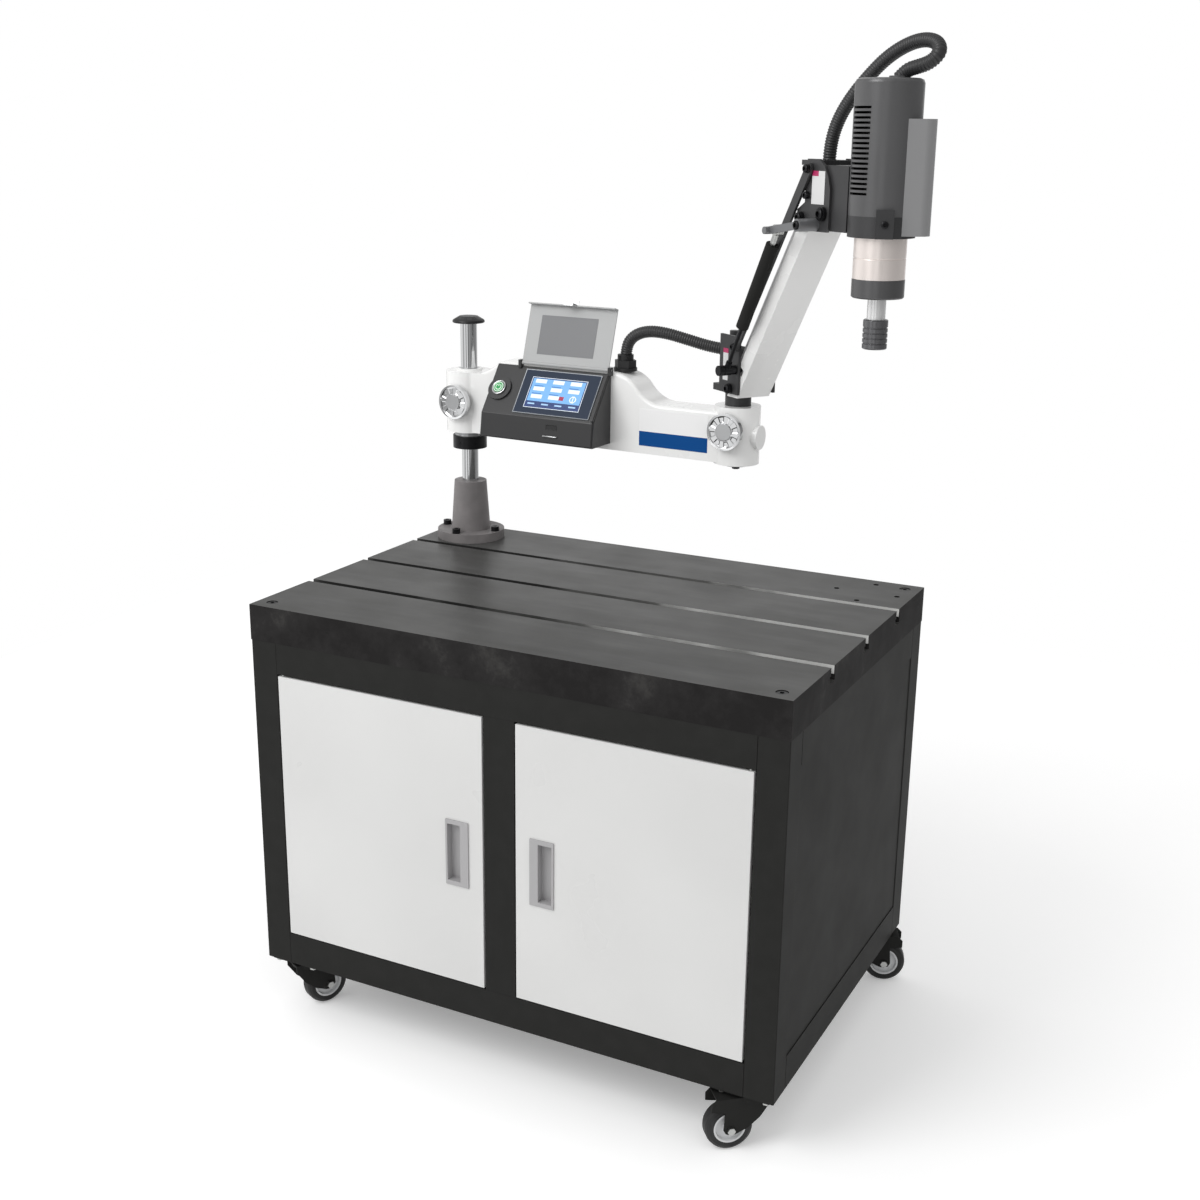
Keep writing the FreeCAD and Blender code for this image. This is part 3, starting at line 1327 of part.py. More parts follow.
def conduit(name, frame, points):
    """A round conduit along a route, and a printed check of its arcs and volume."""
    route = [FreeCAD.Vector(*spot) for spot in points]
    wire, radii, length = rounded_path(route)
    radius = v.hose_radius.number
    circle = Part.makeCircle(radius, route[0], route[1] - route[0])
    tube = wire.makePipeShell([Part.Wire(circle)], True, False)
    expected = math.pi * radius ** 2 * length
    print(f"{name}: length {length:.0f}, radii {radii}, volume {tube.Volume / expected:.4f} of its section")
    node(name, frame, solid("Tube", tube))


# Routes of the conduit: points chosen by hand. The lower one is in the first arm's frame, the upper
# one in the second arm's, from its top pivot.
HOSE_LOWER = [(351, 0, 408), (366, 0, 430), (394, 1, 441), (430, 4, 440), (470, 13, 430), (514, 25, 418)]
HOSE_UPPER = [(-2, 12.5, 8.875), (-0.5, 10, 48.875), (-0.5, 10, 98.875), (5.5, 11, 129.875),
              (20, 13, 157.875), (41, 18, 185.875), (67.5, 28, 215.875), (94, 39.5, 241.875),
              (127, 50, 259.875), (160, 57, 266.875), (188, 60, 261.875), (205, 53, 246.875),
              (196, 42, 231.875), (176, 33, 225.875), (160, 27, 221.875)]


def hoses():
    """Three lengths of one conduit. Each moves with its own arm, and they meet at the pivots."""
    side = v.hose_side.number
    level = v.hose_level.number
    drop = -v.hose_drop.number
    angle = math.radians(v.lift_angle.number)
    reach, high = v.low_pivot_reach.number, v.low_pivot_high.number

    def in_channel(along):
        return (reach + along * math.cos(angle) - drop * math.sin(angle), side,
                high + along * math.sin(angle) + drop * math.cos(angle))

    gland = (v.gland_x.number, 0, (v.hump_high + v.gland_base_high).number)
    meet = (0, side, level)
    conduit("hose_lower", ARM, [gland] + HOSE_LOWER + [in_arm_frame((-36, side, level)), in_arm_frame(meet)])
    corner = in_channel((level - high - drop * math.cos(angle)) / math.sin(angle))
    leaves = (v.link_length - v.hose_leaves).number
    straight = (v.link_length - v.hose_straight).number
    conduit("hose_middle", LIFT, [meet, corner, in_channel(leaves)])
    inlet = (v.inlet_reach.number, v.inlet_side.number, v.motor_top.number)
    above = [(x + top_pivot[0].number, y, z + top_pivot[1].number) for x, y, z in HOSE_UPPER]
    conduit("hose_upper", LIFT, [in_channel(leaves), in_channel(straight)] + above + [inlet])


def in_arm_frame(spot):
    """A point of the second arm's frame, seen from the first arm's frame."""
    turn = math.radians((v.lift_heading - v.arm_heading).number)
    x, y, z = spot
    return (v.arm_reach.number + x * math.cos(turn) - y * math.sin(turn),
            x * math.sin(turn) + y * math.cos(turn), z)


worktop()
frame_tubes()
panels()
doors()
casters()
column()
height_stop()
first_arm()
control_box()
screen_cover()
cable_gland()
swivel_bracket()
lifting_links()
gas_spring()
head_bracket()
gas_lever()
motor()
chuck()
hoses()
doc.recompute()

# ---------------------------------------------------------------- check and write

for obj in doc.Objects:
    if "Invalid" in obj.State or "Error" in obj.State:
        raise RuntimeError(f"{obj.Name} failed: {obj.State}")
for obj in NODES:
    if obj.Shape.isNull() or not obj.Shape.isValid():
        raise RuntimeError(f"{obj.Label} has no valid shape")

os.makedirs("parts", exist_ok=True)
for obj in NODES:
    obj.Shape.exportStep(f"parts/{obj.Label}.step")
print(len(NODES), "sub-parts written")
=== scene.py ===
# %% [markdown]
# # Dressing an arm tapping machine
# The machine is already modelled as solids, each in its true place and size. This lesson gives those
# solids their finishes, rounds the edges that catch the light, and adds the small things that solids
# leave plain: the display, the ribs of the conduit, the recesses of the clamp knobs, the bolt sockets.
# The first step loads the solids.

# %% Load the solids
import bpy
import json
import math
from mathutils import Matrix, Vector


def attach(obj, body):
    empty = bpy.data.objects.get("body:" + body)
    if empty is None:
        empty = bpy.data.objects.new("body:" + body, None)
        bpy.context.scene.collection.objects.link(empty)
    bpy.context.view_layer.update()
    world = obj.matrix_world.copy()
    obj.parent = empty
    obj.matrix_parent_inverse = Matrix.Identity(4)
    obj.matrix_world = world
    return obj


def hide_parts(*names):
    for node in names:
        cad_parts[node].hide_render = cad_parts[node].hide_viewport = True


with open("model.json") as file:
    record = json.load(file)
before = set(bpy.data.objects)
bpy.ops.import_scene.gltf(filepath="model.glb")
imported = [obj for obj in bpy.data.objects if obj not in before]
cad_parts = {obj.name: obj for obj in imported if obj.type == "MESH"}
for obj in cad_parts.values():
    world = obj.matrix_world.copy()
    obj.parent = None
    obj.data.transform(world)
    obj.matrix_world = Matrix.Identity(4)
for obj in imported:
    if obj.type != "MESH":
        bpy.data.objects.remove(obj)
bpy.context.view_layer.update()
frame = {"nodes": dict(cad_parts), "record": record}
record = frame["record"]
body_of = {name: body for body, names in record["behaviour"]["bodies"].items() for name in names}
print("solids:", len(frame["nodes"]))

# %% [markdown]
# Sizes on a machine drawing are in millimetres and Blender works in metres, so `mm` turns one into the
# other. The machine has three working frames: the column with the first arm on it, turned a little,
# the second arm, turned further, and the sloping face of the control box. Each is a matrix, so a piece
# is made flat at the origin, where it is easy to see what an operator does, and then carried there.

# %% Frames of the two arms and the sloping panel
mm = 0.001


def carried(at, turn_z=0.0, turn_x=0.0):
    """A matrix that turns about x, then about z, and moves to a point in millimetres."""
    heading = Matrix.Rotation(math.radians(turn_z), 4, "Z")
    tilt = Matrix.Rotation(math.radians(turn_x), 4, "X")
    return Matrix.Translation(Vector(at) * mm) @ heading @ tilt


COLUMN_FOOT = (-417, 257, 790)
ARM_REACH = 583
MOTOR_REACH = 384
LOW_PIVOT = (32, 359)
HIGH_PIVOT = (226.5, 663.1)
PANEL_TILT = 54.01
FRONT_TILT = 82.57
ARM = carried(COLUMN_FOOT, -2.5)
LIFT = ARM @ carried((ARM_REACH, 0, 0), -32.5)
SLOPE = ARM @ carried((246, -70.5, 320), 0, PANEL_TILT)
print("barrel axis:", [round(x, 4) for x in LIFT.translation])

# %% [markdown]
# Operators act on everything that is selected, so each step starts from nothing. Faces are chosen in
# code, by where they lie and where they point, as one would click them by hand.

# %% Helpers that choose and edit faces
def alone(piece):
    """Deselects everything and makes one piece the active, selected one."""
    for other in bpy.context.selected_objects:
        other.select_set(False)
    bpy.context.view_layer.objects.active = piece
    piece.select_set(True)


def pick(piece, wanted):
    """In object mode, selects the faces that `wanted(centre, normal)` is true for."""
    mesh = piece.data
    for part in (mesh.vertices, mesh.edges):
        for item in part:
            item.select = False
    for face in mesh.polygons:
        face.select = bool(wanted(face.center, face.normal))


def edit(piece, wanted, *steps):
    """Runs edit-mode steps on the faces that `wanted` picks."""
    alone(piece)
    pick(piece, wanted)
    bpy.ops.object.mode_set(mode="EDIT")
    bpy.ops.mesh.select_mode(type="FACE")
    for step in steps:
        step()
    bpy.ops.object.mode_set(mode="OBJECT")


def top_face(centre, normal):
    """True for the upper faces of a piece that was made at the origin."""
    return normal.z > 0.99 and centre.length < 0.2


def front_face(centre, normal):
    return normal.y < -0.99


# %% [markdown]
# Most small parts start as a box or a cylinder and are shaped by a few edit steps, given in millimetres.

# %% Edit steps and first shapes
def inset(width):
    """An edit step: insets the selected faces by millimetres."""
    return lambda: bpy.ops.mesh.inset(thickness=width * mm)


def move(y=0, z=0):
    """An edit step: moves the selected faces by millimetres."""
    return lambda: bpy.ops.transform.translate(value=(0, y * mm, z * mm))


def pull(y=0, z=0):
    """An edit step: extrudes the selected faces by millimetres."""
    return lambda: bpy.ops.mesh.extrude_region_move(TRANSFORM_OT_translate={"value": (0, y * mm, z * mm)})


def step_in(width, rise):
    """An edit step: insets the selected faces, then raises or sinks them."""
    def run():
        inset(width)()
        move(z=rise)()
    return run


def new_block(size, at):
    """A box of a size in millimetres around a point, with its place and size in its mesh."""
    bpy.ops.mesh.primitive_cube_add(size=1, location=[value * mm for value in at])
    piece = bpy.context.active_object
    piece.scale = [value * mm for value in size]
    bpy.ops.object.transform_apply(location=True, scale=True)
    return piece


def new_rod(radius, length, at=(0, 0, 0), sides=48):
    """An upright cylinder around a point, in millimetres, with its place in its mesh."""
    bpy.ops.mesh.primitive_cylinder_add(vertices=sides, radius=radius * mm, depth=length * mm,
                                        location=[value * mm for value in at])
    piece = bpy.context.active_object
    bpy.ops.object.transform_apply(location=True)
    return piece


def joined(piece, other):
    """Joins another piece into a piece."""
    alone(piece)
    other.select_set(True)
    bpy.ops.object.join()
    return piece


# %% [markdown]
# A finished piece gets soft edges, then its place: it is made at the origin, carried where it belongs
# together with its mesh, hung on the body that it moves with, and stands for a solid if it replaces one.

# %% Helpers that round and place a piece
def rounded(piece, width, segments=2, angle=35):
    """Bevels the sharp edges by a width in millimetres and shades the rest smooth."""
    alone(piece)
    bevel = piece.modifiers.new("Edges", "BEVEL")
    bevel.width = width * mm
    bevel.segments = segments
    bevel.limit_method = "ANGLE"
    bevel.angle_limit = math.radians(angle)
    bpy.ops.object.modifier_apply(modifier=bevel.name)
    even_shading(piece, angle - 5)
    return piece


def even_shading(piece, angle):
    """Shades smooth below an angle, and lets the large flat faces set the shading of their corners."""
    alone(piece)
    bpy.ops.object.shade_smooth_by_angle(angle=math.radians(angle))
    flat = piece.modifiers.new("Even", "WEIGHTED_NORMAL")
    flat.keep_sharp = True
    flat.weight = 80
    bpy.ops.object.modifier_apply(modifier=flat.name)


def settle(piece, name, place, body, material, replaces=()):
    """Names a finished piece, puts its place into its mesh, and hangs it on its body."""
    piece.name = name
    piece.data.transform(place @ piece.matrix_world)
    piece.matrix_world = Matrix.Identity(4)
    if material and not piece.data.materials:
        piece.data.materials.append(material)
    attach(piece, body)
    if replaces:
        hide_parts(*replaces)
    return piece


# %% [markdown]
# ## Camera
# The camera stands a little right of the front and above the worktop, and looks slightly down. Its
# place, its three axes and its lens come from where the straight edges of the bench meet the frame.

# %% Camera
around, down, roll = (math.radians(angle) for angle in (26.961, 16.674, 0.666))
ahead = Vector((-math.sin(around) * math.cos(down), math.cos(around) * math.cos(down), -math.sin(down)))
level = Vector((math.cos(around), math.sin(around), 0))
upward = level.cross(ahead)
right = level * math.cos(roll) + upward * math.sin(roll)
upright = upward * math.cos(roll) - level * math.sin(roll)
camera_data = bpy.data.cameras.new("camera")
camera_data.lens = 47.209
camera_data.sensor_width = 36
camera = bpy.data.objects.new("camera", camera_data)
bpy.context.scene.collection.objects.link(camera)
axes = Matrix((right, upright, -ahead)).transposed().to_4x4()
camera.matrix_world = Matrix.Translation((1.22429, -2.38909, 1.58574)) @ axes
bpy.context.scene.camera = camera
print("camera lens:", camera_data.lens, "mm")

# %% [markdown]
# The room, the floor and every finish are node trees. Three small tools build them: one reads a paint
# code, one adds a node with its settings and links, and one sets the stops of a colour ramp.

# %% Tools for node trees
def colour(code):
    """A #RRGGBB paint code as the linear colour that a shader wants."""
    parts = [int(code[i:i + 2], 16) / 255 for i in (1, 3, 5)]
    linear = [part / 12.92 if part <= 0.04045 else ((part + 0.055) / 1.055) ** 2.4 for part in parts]
    return (*linear, 1.0)


def add(tree, kind, links=None, **settings):
    """Adds a node. Settings name its properties or inputs, and links feed inputs from other nodes."""
    made = tree.nodes.new("ShaderNode" + kind)
    for key, value in settings.items():
        if hasattr(made, key):
            setattr(made, key, value)
        else:
            made.inputs[key.replace("_", " ")].default_value = value
    for key, source in (links or {}).items():
        tree.links.new(source, made.inputs[key])
    return made


def ramp(made, *stops):
    """Sets the stops of a Color Ramp node, each a place from 0 to 1 and a colour code."""
    band = made.color_ramp
    while len(band.elements) > len(stops):
        band.elements.remove(band.elements[-1])
    while len(band.elements) < len(stops):
        band.elements.new(1.0)
    for element, (place, code) in zip(band.elements, stops):
        element.position = place
        element.color = colour(code)
    return made


# %% [markdown]
# ## Light
# A product shot on white: one broad soft lamp from the upper left, and the white room for the rest.
# Polished steel shows what stands around it, so the room has darker bands that only gloss sees. Without
# them a chromed post looks like white plastic.

# %% Room and lamp
world = bpy.data.worlds.new("white room")
bpy.context.scene.world = world
world.use_nodes = True
room = world.node_tree
room.nodes.clear()
direction = add(room, "TexCoord").outputs["Generated"]
split = add(room, "SeparateXYZ", {"Vector": direction})
across = add(room, "Math", {0: split.outputs["X"]}, operation="MULTIPLY_ADD")
across.inputs[1].default_value = 0.5
across.inputs[2].default_value = 0.5
bands = ramp(add(room, "ValToRGB", {"Fac": across.outputs[0]}),
             (0.0, "#FFFFFF"), (0.16, "#9A9A9A"), (0.24, "#FFFFFF"), (0.36, "#F4F4F4"), (0.43, "#3C3C3C"),
             (0.48, "#DADADA"), (0.60, "#FFFFFF"), (0.68, "#505050"), (0.78, "#A8A8A8"), (1.0, "#7A7A7A"))
plain = add(room, "Background", Color=colour("#F7F7F7"), Strength=0.84)
shiny = add(room, "Background", {"Color": bands.outputs["Color"]}, Strength=1.0)
seen = add(room, "Background", Color=(1, 1, 1, 1), Strength=1.0)
rays = add(room, "LightPath")
gloss = add(room, "MixShader", {0: rays.outputs["Is Glossy Ray"], 1: plain.outputs[0], 2: shiny.outputs[0]})
clear = add(room, "Math", {0: rays.outputs["Is Camera Ray"], 1: rays.outputs["Is Transmission Ray"]},
            operation="MAXIMUM")
shown = add(room, "MixShader", {0: clear.outputs[0], 1: gloss.outputs[0], 2: seen.outputs[0]})
add(room, "OutputWorld", {"Surface": shown.outputs[0]})


def lamp(name, at, target, size, power):
    """A square lamp at a point, facing another point."""
    data = bpy.data.lights.new(name, "AREA")
    data.size = size
    data.energy = power
    lit = bpy.data.objects.new(name, data)
    bpy.context.scene.collection.objects.link(lit)
    lit.location = at
    lit.rotation_euler = (Vector(target) - Vector(at)).to_track_quat("-Z", "Y").to_euler()


lamp("key lamp", (-1.6, -3.0, 3.6), (0, 0, 0.8), 2.4, 88)
bpy.context.scene.view_settings.view_transform = "Standard"
print("bands that gloss sees:", len(bands.color_ramp.elements))

# %% [markdown]
# The floor is a pale sheet, five metres wide. It catches the soft shadow under the cabinet. A little
# glow, which only the eye and reflections get, lifts the rest of it to the white of the room, so that no
# horizon shows.

# %% Floor
bpy.ops.mesh.primitive_plane_add(size=5, location=(0, 0, 0))
floor = bpy.context.active_object
floor.name = "floor"
floor_paper = bpy.data.materials.new("floor paper")
floor_paper.use_nodes = True
paper = floor_paper.node_tree
paper.nodes.clear()
matt = add(paper, "BsdfDiffuse", Color=(0.9, 0.9, 0.9, 1))
sight = add(paper, "LightPath")
either = add(paper, "Math", {0: sight.outputs["Is Camera Ray"], 1: sight.outputs["Is Glossy Ray"]},
             operation="MAXIMUM")
any_view = add(paper, "Math", {0: either.outputs[0], 1: sight.outputs["Is Transmission Ray"]},
               operation="MAXIMUM")
glow = add(paper, "Math", {0: any_view.outputs[0]}, operation="MULTIPLY")
glow.inputs[1].default_value = 0.245
lift = add(paper, "Emission", {"Strength": glow.outputs[0]}, Color=(1, 1, 1, 1))
both = add(paper, "AddShader", {0: matt.outputs[0], 1: lift.outputs[0]})
add(paper, "OutputMaterial", {"Surface": both.outputs[0]})
floor.data.materials.append(floor_paper)
print("floor:", [round(side, 2) for side in floor.dimensions])

# %% [markdown]
# ## Finishes
# Every finish starts from what the real one is and how its surface was made. `begin` opens a material
# with its one shader. The patterns are small: sand marks of a casting, lap marks on the ground plate, the
# orange peel of sprayed enamel. Object coordinates are in metres, so a scale of 1000 is one repeat in a
# millimetre.

# %% Start of a finish
def begin(name, code, **settings):
    """A new material with one shader: the material, its node tree and the shader."""
    material = bpy.data.materials.new(name)
    material.use_nodes = True
    tree = material.node_tree
    tree.nodes.clear()
    surface = add(tree, "BsdfPrincipled", Base_Color=colour(code), **settings)
    add(tree, "OutputMaterial", {"Surface": surface.outputs[0]})
    return material, tree, surface


def grain(tree, surface, scale, strength, distance, detail=2.0, stretch=(1, 1, 1)):
    """A fine height pattern. It hands back the Object coordinates for other patterns."""
    where = add(tree, "TexCoord").outputs["Object"]
    fitted = add(tree, "Mapping", {"Vector": where}, Scale=stretch)
    noise = add(tree, "TexNoise", {"Vector": fitted.outputs[0]}, Scale=scale, Detail=detail)
    height = add(tree, "Bump", {"Height": noise.outputs["Fac"]}, Strength=strength, Distance=distance)
    tree.links.new(height.outputs[0], surface.inputs["Normal"])
    return where


def cloudy(tree, surface, where, scale, low, high):
    """Lets the roughness wander between two levels in soft patches."""
    noise = add(tree, "TexNoise", {"Vector": where}, Scale=scale, Detail=4.0)
    spread = add(tree, "MapRange", {"Value": noise.outputs["Fac"]}, From_Min=0.3, From_Max=0.7,
                 To_Min=low, To_Max=high)
    tree.links.new(spread.outputs[0], surface.inputs["Roughness"])


def finish(name, code, bumps, wander=None, **settings):
    """A finish of one colour, with the numbers for `grain` and, where its gloss wanders, for `cloudy`."""
    material, tree, surface = begin(name, code, **settings)
    where = grain(tree, surface, *bumps)
    if wander:
        cloudy(tree, surface, where, *wander)
    return material


def two_tone(tree, surface, source, *stops):
    """Colours the surface from a value through a ramp: mostly a noise, on the slot walls a painted light
    along x.
    """
    mixed = ramp(add(tree, "ValToRGB", {"Fac": source}), *stops)
    tree.links.new(mixed.outputs["Color"], surface.inputs["Base Color"])


# %% [markdown]
# The worktop is cast iron, ground flat, blackened and oiled. The eye reads long faint grinding marks,
# clouds of oil and a few pale scuffs, and steel along the walls of the slots, dark at the left and bright
# at the right-hand end: a painted light that stands for light through the open slot ends. Oil on black
# iron takes the shine off it, so the specular level is low.

# %% Ground, blackened plate
black_plate, tree, surface = begin("blackened_cast_iron", "#454544", Metallic=0.0, Roughness=0.36,
                                   Specular_IOR_Level=0.12)
where = grain(tree, surface, 260, 0.08, 0.0003, 3.0, (0.06, 1, 1))
cloudy(tree, surface, where, 9, 0.3, 0.4)
drawn = add(tree, "Mapping", {"Vector": where}, Scale=(1, 6, 1))
patches = add(tree, "TexNoise", {"Vector": drawn.outputs[0]}, Scale=5.5, Detail=8.0, Roughness=0.6)
two_tone(tree, surface, patches.outputs["Fac"], (0.25, "#41413F"), (0.52, "#484847"), (0.78, "#535352"))
# The upright faces get a rougher copy of the oiled iron with less shine; its darker colour is painted shade
# on the sides.
plate_side_painted_shade, tree, surface = begin("oiled_cast_iron_side_painted_shade", "#2A2929", Roughness=0.55,
                                  Specular_IOR_Level=0.03)
where = grain(tree, surface, 300, 0.15, 0.0003, 4.0)
marks = add(tree, "TexNoise", {"Vector": where}, Scale=11, Detail=9.0, Roughness=0.68)
two_tone(tree, surface, marks.outputs["Fac"], (0.42, "#242323"), (0.58, "#2C2B2B"), (0.72, "#3C3B3A"))
worn_steel = finish("worn_steel_edge", "#8E8E8C", (900, 0.2, 0.0002), Metallic=0.8, Roughness=0.35)
slot_steel_and_end_light, tree, surface = begin("milled_slot_wall_painted_end_light", "#8E8E8C", Metallic=0.3, Roughness=0.4)
where = grain(tree, surface, 500, 0.1, 0.0002, 2.0, (0.1, 1, 1))
# The slot walls run from dark at the left to bright at the right-hand end, with a little noise: painted light
# through the open slot ends, over bare milled steel.
place = add(tree, "SeparateXYZ", {"Vector": where})
rub = add(tree, "TexNoise", {"Vector": where}, Scale=7, Detail=3.0)
along = add(tree, "Math", {0: place.outputs["X"], 1: rub.outputs["Fac"]}, operation="ADD")
two_tone(tree, surface, along.outputs[0], (0.35, "#2E2E2D"), (0.62, "#6E6E6C"), (0.85, "#D2D2D0"))
print("worktop:", [made.name for made in (black_plate, plate_side_painted_shade, worn_steel, slot_steel_and_end_light)])

# %% [markdown]
# The cabinet is folded and welded steel under black satin enamel, and its doors are light grey. Sprayed
# enamel has a shallow orange peel, about a millimetre across, that breaks up reflections.

# %% Sprayed enamels
black_enamel, tree, surface = begin("black_satin_enamel", "#2B2B2B", Roughness=0.5, Specular_IOR_Level=0.04)
where = grain(tree, surface, 700, 0.06, 0.0003)
cloudy(tree, surface, where, 6, 0.46, 0.54)
dust = add(tree, "TexNoise", {"Vector": where}, Scale=30, Detail=6.0)
two_tone(tree, surface, dust.outputs["Fac"], (0.4, "#292928"), (0.8, "#2C2C2B"))
door_enamel, tree, surface = begin("light_grey_enamel", "#DCDCDB", Roughness=0.32)
where = grain(tree, surface, 600, 0.05, 0.0003)
cloudy(tree, surface, where, 5, 0.26, 0.38)
clouds = add(tree, "TexNoise", {"Vector": where}, Scale=2.5, Detail=2.0)
two_tone(tree, surface, clouds.outputs["Fac"], (0.35, "#CFCFCE"), (0.65, "#D6D6D5"))
arm_enamel = finish("white_gloss_enamel", "#F1F1F0", (420, 0.05, 0.0004), (8, 0.2, 0.3),
                    Roughness=0.24, Coat_Weight=0.3)
# The upper arm gets a greyer, less glossy copy of the white enamel: the grey is painted shade where it lies
# beside the channel.
shaded_white_enamel = finish("white_enamel_painted_shade", "#DADADA", (500, 0.05, 0.0003), (10, 0.24, 0.36), Roughness=0.3)
print("enamels:", [made.name for made in (black_enamel, door_enamel, arm_enamel, shaded_white_enamel)])

# %% [markdown]
# The column base is grey iron cast in sand and left dark. Sand leaves a pebbled skin, half a millimetre
# from bump to bump, over patches of lighter and darker grey.

# %% Sand-cast iron
sand_cast, tree, surface = begin("dark_sand_cast_iron", "#7A7676", Roughness=0.45, Specular_IOR_Level=0.35)
where = grain(tree, surface, 800, 0.25, 0.0003, 4.0)
cloudy(tree, surface, where, 40, 0.42, 0.6)
tones = add(tree, "TexNoise", {"Vector": where}, Scale=22, Detail=5.0)
two_tone(tree, surface, tones.outputs["Fac"], (0.3, "#716E6E"), (0.7, "#827E7E"))
print("casting:", sand_cast.name)

# %% [markdown]
# Bright metals: the chromed post and knobs are polished, the gearbox, chuck and sleeve are turned, so their
# marks run round the axis, and the small screws and nuts are zinc-plated or blackened.

# %% Bright and blackened metals
chrome = finish("polished_chrome", "#D9DADB", (30, 0.01, 0.0005), (25, 0.05, 0.12),
                Metallic=1.0, Roughness=0.07)
satin_chrome = finish("satin_chrome", "#B9BABB", (1200, 0.12, 0.0002), Metallic=1.0, Roughness=0.3)
turned_steel = finish("fine_turned_steel", "#F2E9E4", (500, 0.12, 0.0002, 2.0, (0.04, 0.04, 3)),
                      (18, 0.3, 0.4), Metallic=0.65, Roughness=0.34)
zinc = finish("zinc_plate", "#B5B6B4", (900, 0.15, 0.0002), Metallic=1.0, Roughness=0.32)
black_oxide = finish("black_oxide_steel", "#1D1D1F", (900, 0.15, 0.0002), (60, 0.3, 0.45),
                     Metallic=0.6, Roughness=0.36)
chuck_steel = finish("ground_chuck_steel", "#ECECEC", (500, 0.08, 0.0002, 2.0, (0.04, 0.04, 3)),
                     Metallic=0.6, Roughness=0.26)
nose_steel = finish("blued_nose_steel", "#606061", (900, 0.12, 0.0002), Metallic=0.6, Roughness=0.34)
sleeve_steel = finish("blackened_sleeve_steel", "#6E6E70", (600, 0.08, 0.0002, 2.0, (0.05, 0.05, 3)),
                      Metallic=0.7, Roughness=0.26)
lever_steel = finish("grey_lever_steel", "#77787A", (700, 0.1, 0.0002), Metallic=0.4, Roughness=0.4)
bronze = finish("bearing_bronze", "#A5834F", (600, 0.1, 0.0002), Metallic=1.0, Roughness=0.35)
print("finishes so far:", len(bpy.data.materials))

# %% [markdown]
# Motor and brackets are aluminium and steel under dark satin paint. The terminal box on the motor is given
# a paler grey, which is a painted reflection of light on its faces. Moulded parts, such as the control box,
# the cap and the gland, are ABS and nylon: a spark-eroded mould gives them a fine even texture.

# %% Dark paints and plastics
motor_paint = finish("graphite_satin_paint", "#5C5C5D", (900, 0.08, 0.0002), (14, 0.28, 0.38),
                     Metallic=0.35, Roughness=0.32)
# The terminal box's paler grey stands for the reflection on its faces: painted light.
box_paint_painted_reflection = finish("grey_terminal_box_painted_reflection", "#949495", (900, 0.08, 0.0002), Metallic=0.3, Roughness=0.36)
bracket_paint = finish("dark_grey_plate_paint", "#3E3E3F", (700, 0.1, 0.0002), (20, 0.36, 0.5),
                       Metallic=0.35, Roughness=0.42)
box_plastic = finish("black_moulded_ABS", "#2E2E2F", (1500, 0.12, 0.0002), (12, 0.28, 0.38), Roughness=0.36)
black_nylon = finish("black_nylon", "#19191A", (1000, 0.12, 0.0002), Roughness=0.42)
handle_plastic = finish("silver_grey_plastic", "#D2D1D2", (1100, 0.1, 0.0002), Roughness=0.4)
# A darker, duller copy of the pull plastic for the hollow behind the rim: painted shade in the recess.
handle_recess_shade = finish("silver_grey_painted_recess_shade", "#A4A3A4", (1100, 0.1, 0.0002), Roughness=0.5)
conduit_rubber = finish("ribbed_conduit_nylon", "#2D2D2E", (700, 0.12, 0.0002), Roughness=0.45)
tread_rubber = finish("black_tread_rubber", "#171717", (500, 0.3, 0.0003, 4.0), (30, 0.5, 0.75),
                      Roughness=0.62)
hub_plastic = finish("pale_hub_plastic", "#D3D4D5", (800, 0.15, 0.0003), Roughness=0.35)
board_green = finish("circuit_board", "#1E5A35", (500, 0.2, 0.0003), Roughness=0.4)
print("finishes so far:", len(bpy.data.materials))

# %% [markdown]
# The cover over the display is frosted polycarbonate. Light goes through it, scattered, so it is partly
# clear and rough. The pane in its middle is smoked.

# %% Frosted and smoked plastic
frosted = finish("frosted_polycarbonate", "#B1B2B2", (900, 0.1, 0.0002),
                 Roughness=0.4, Alpha=0.93, Specular_IOR_Level=0.35)
smoked = finish("smoked_polycarbonate", "#7C7D7F", (300, 0.05, 0.0002),
                Roughness=0.3, Alpha=0.9, Specular_IOR_Level=0.3)
print("cover:", frosted.name, smoked.name)

# %% [markdown]
# ## Plain dressing
# Some solids only need a finish: nothing on them is sharp enough or large enough to want rounding. The
# bushes of the arm are bronze inside and end in steel rings.

# %% Finishes for the solids that stay
stay = {
    "worktop_screws": black_oxide, "floor_panel": black_enamel, "door_hinge_pins": zinc,
    "column_bolts": black_oxide, "column_post": chrome, "thrust_bearing": satin_chrome,
    "arm_bushes": bronze, "control_board": board_green, "gas_rod": black_oxide,
    "motor_rotor": zinc, "cabinet_panels": black_enamel,
}
for name in frame["nodes"]:
    if name.endswith("_tyre"):
        stay[name] = tread_rubber
    if name.endswith("_wheel"):
        stay[name] = hub_plastic
for name, material in stay.items():
    solid = frame["nodes"][name]
    solid.data.materials.clear()
    solid.data.materials.append(material)
bushes = frame["nodes"]["arm_bushes"]
bushes.data.materials.append(satin_chrome)
for face in bushes.data.polygons:
    face.material_index = 1 if abs(face.normal.z) > 0.5 else 0
print("dressed as they are:", len(stay))

# %% [markdown]
# ## Rounded edges
# Real edges are never sharp: a fold, a casting or a deburred cut shows a thin line of light. Each of
# these solids is copied, its loose triangles are joined into clean faces, and a narrow bevel runs along
# its sharp edges. The copy then stands for the solid.

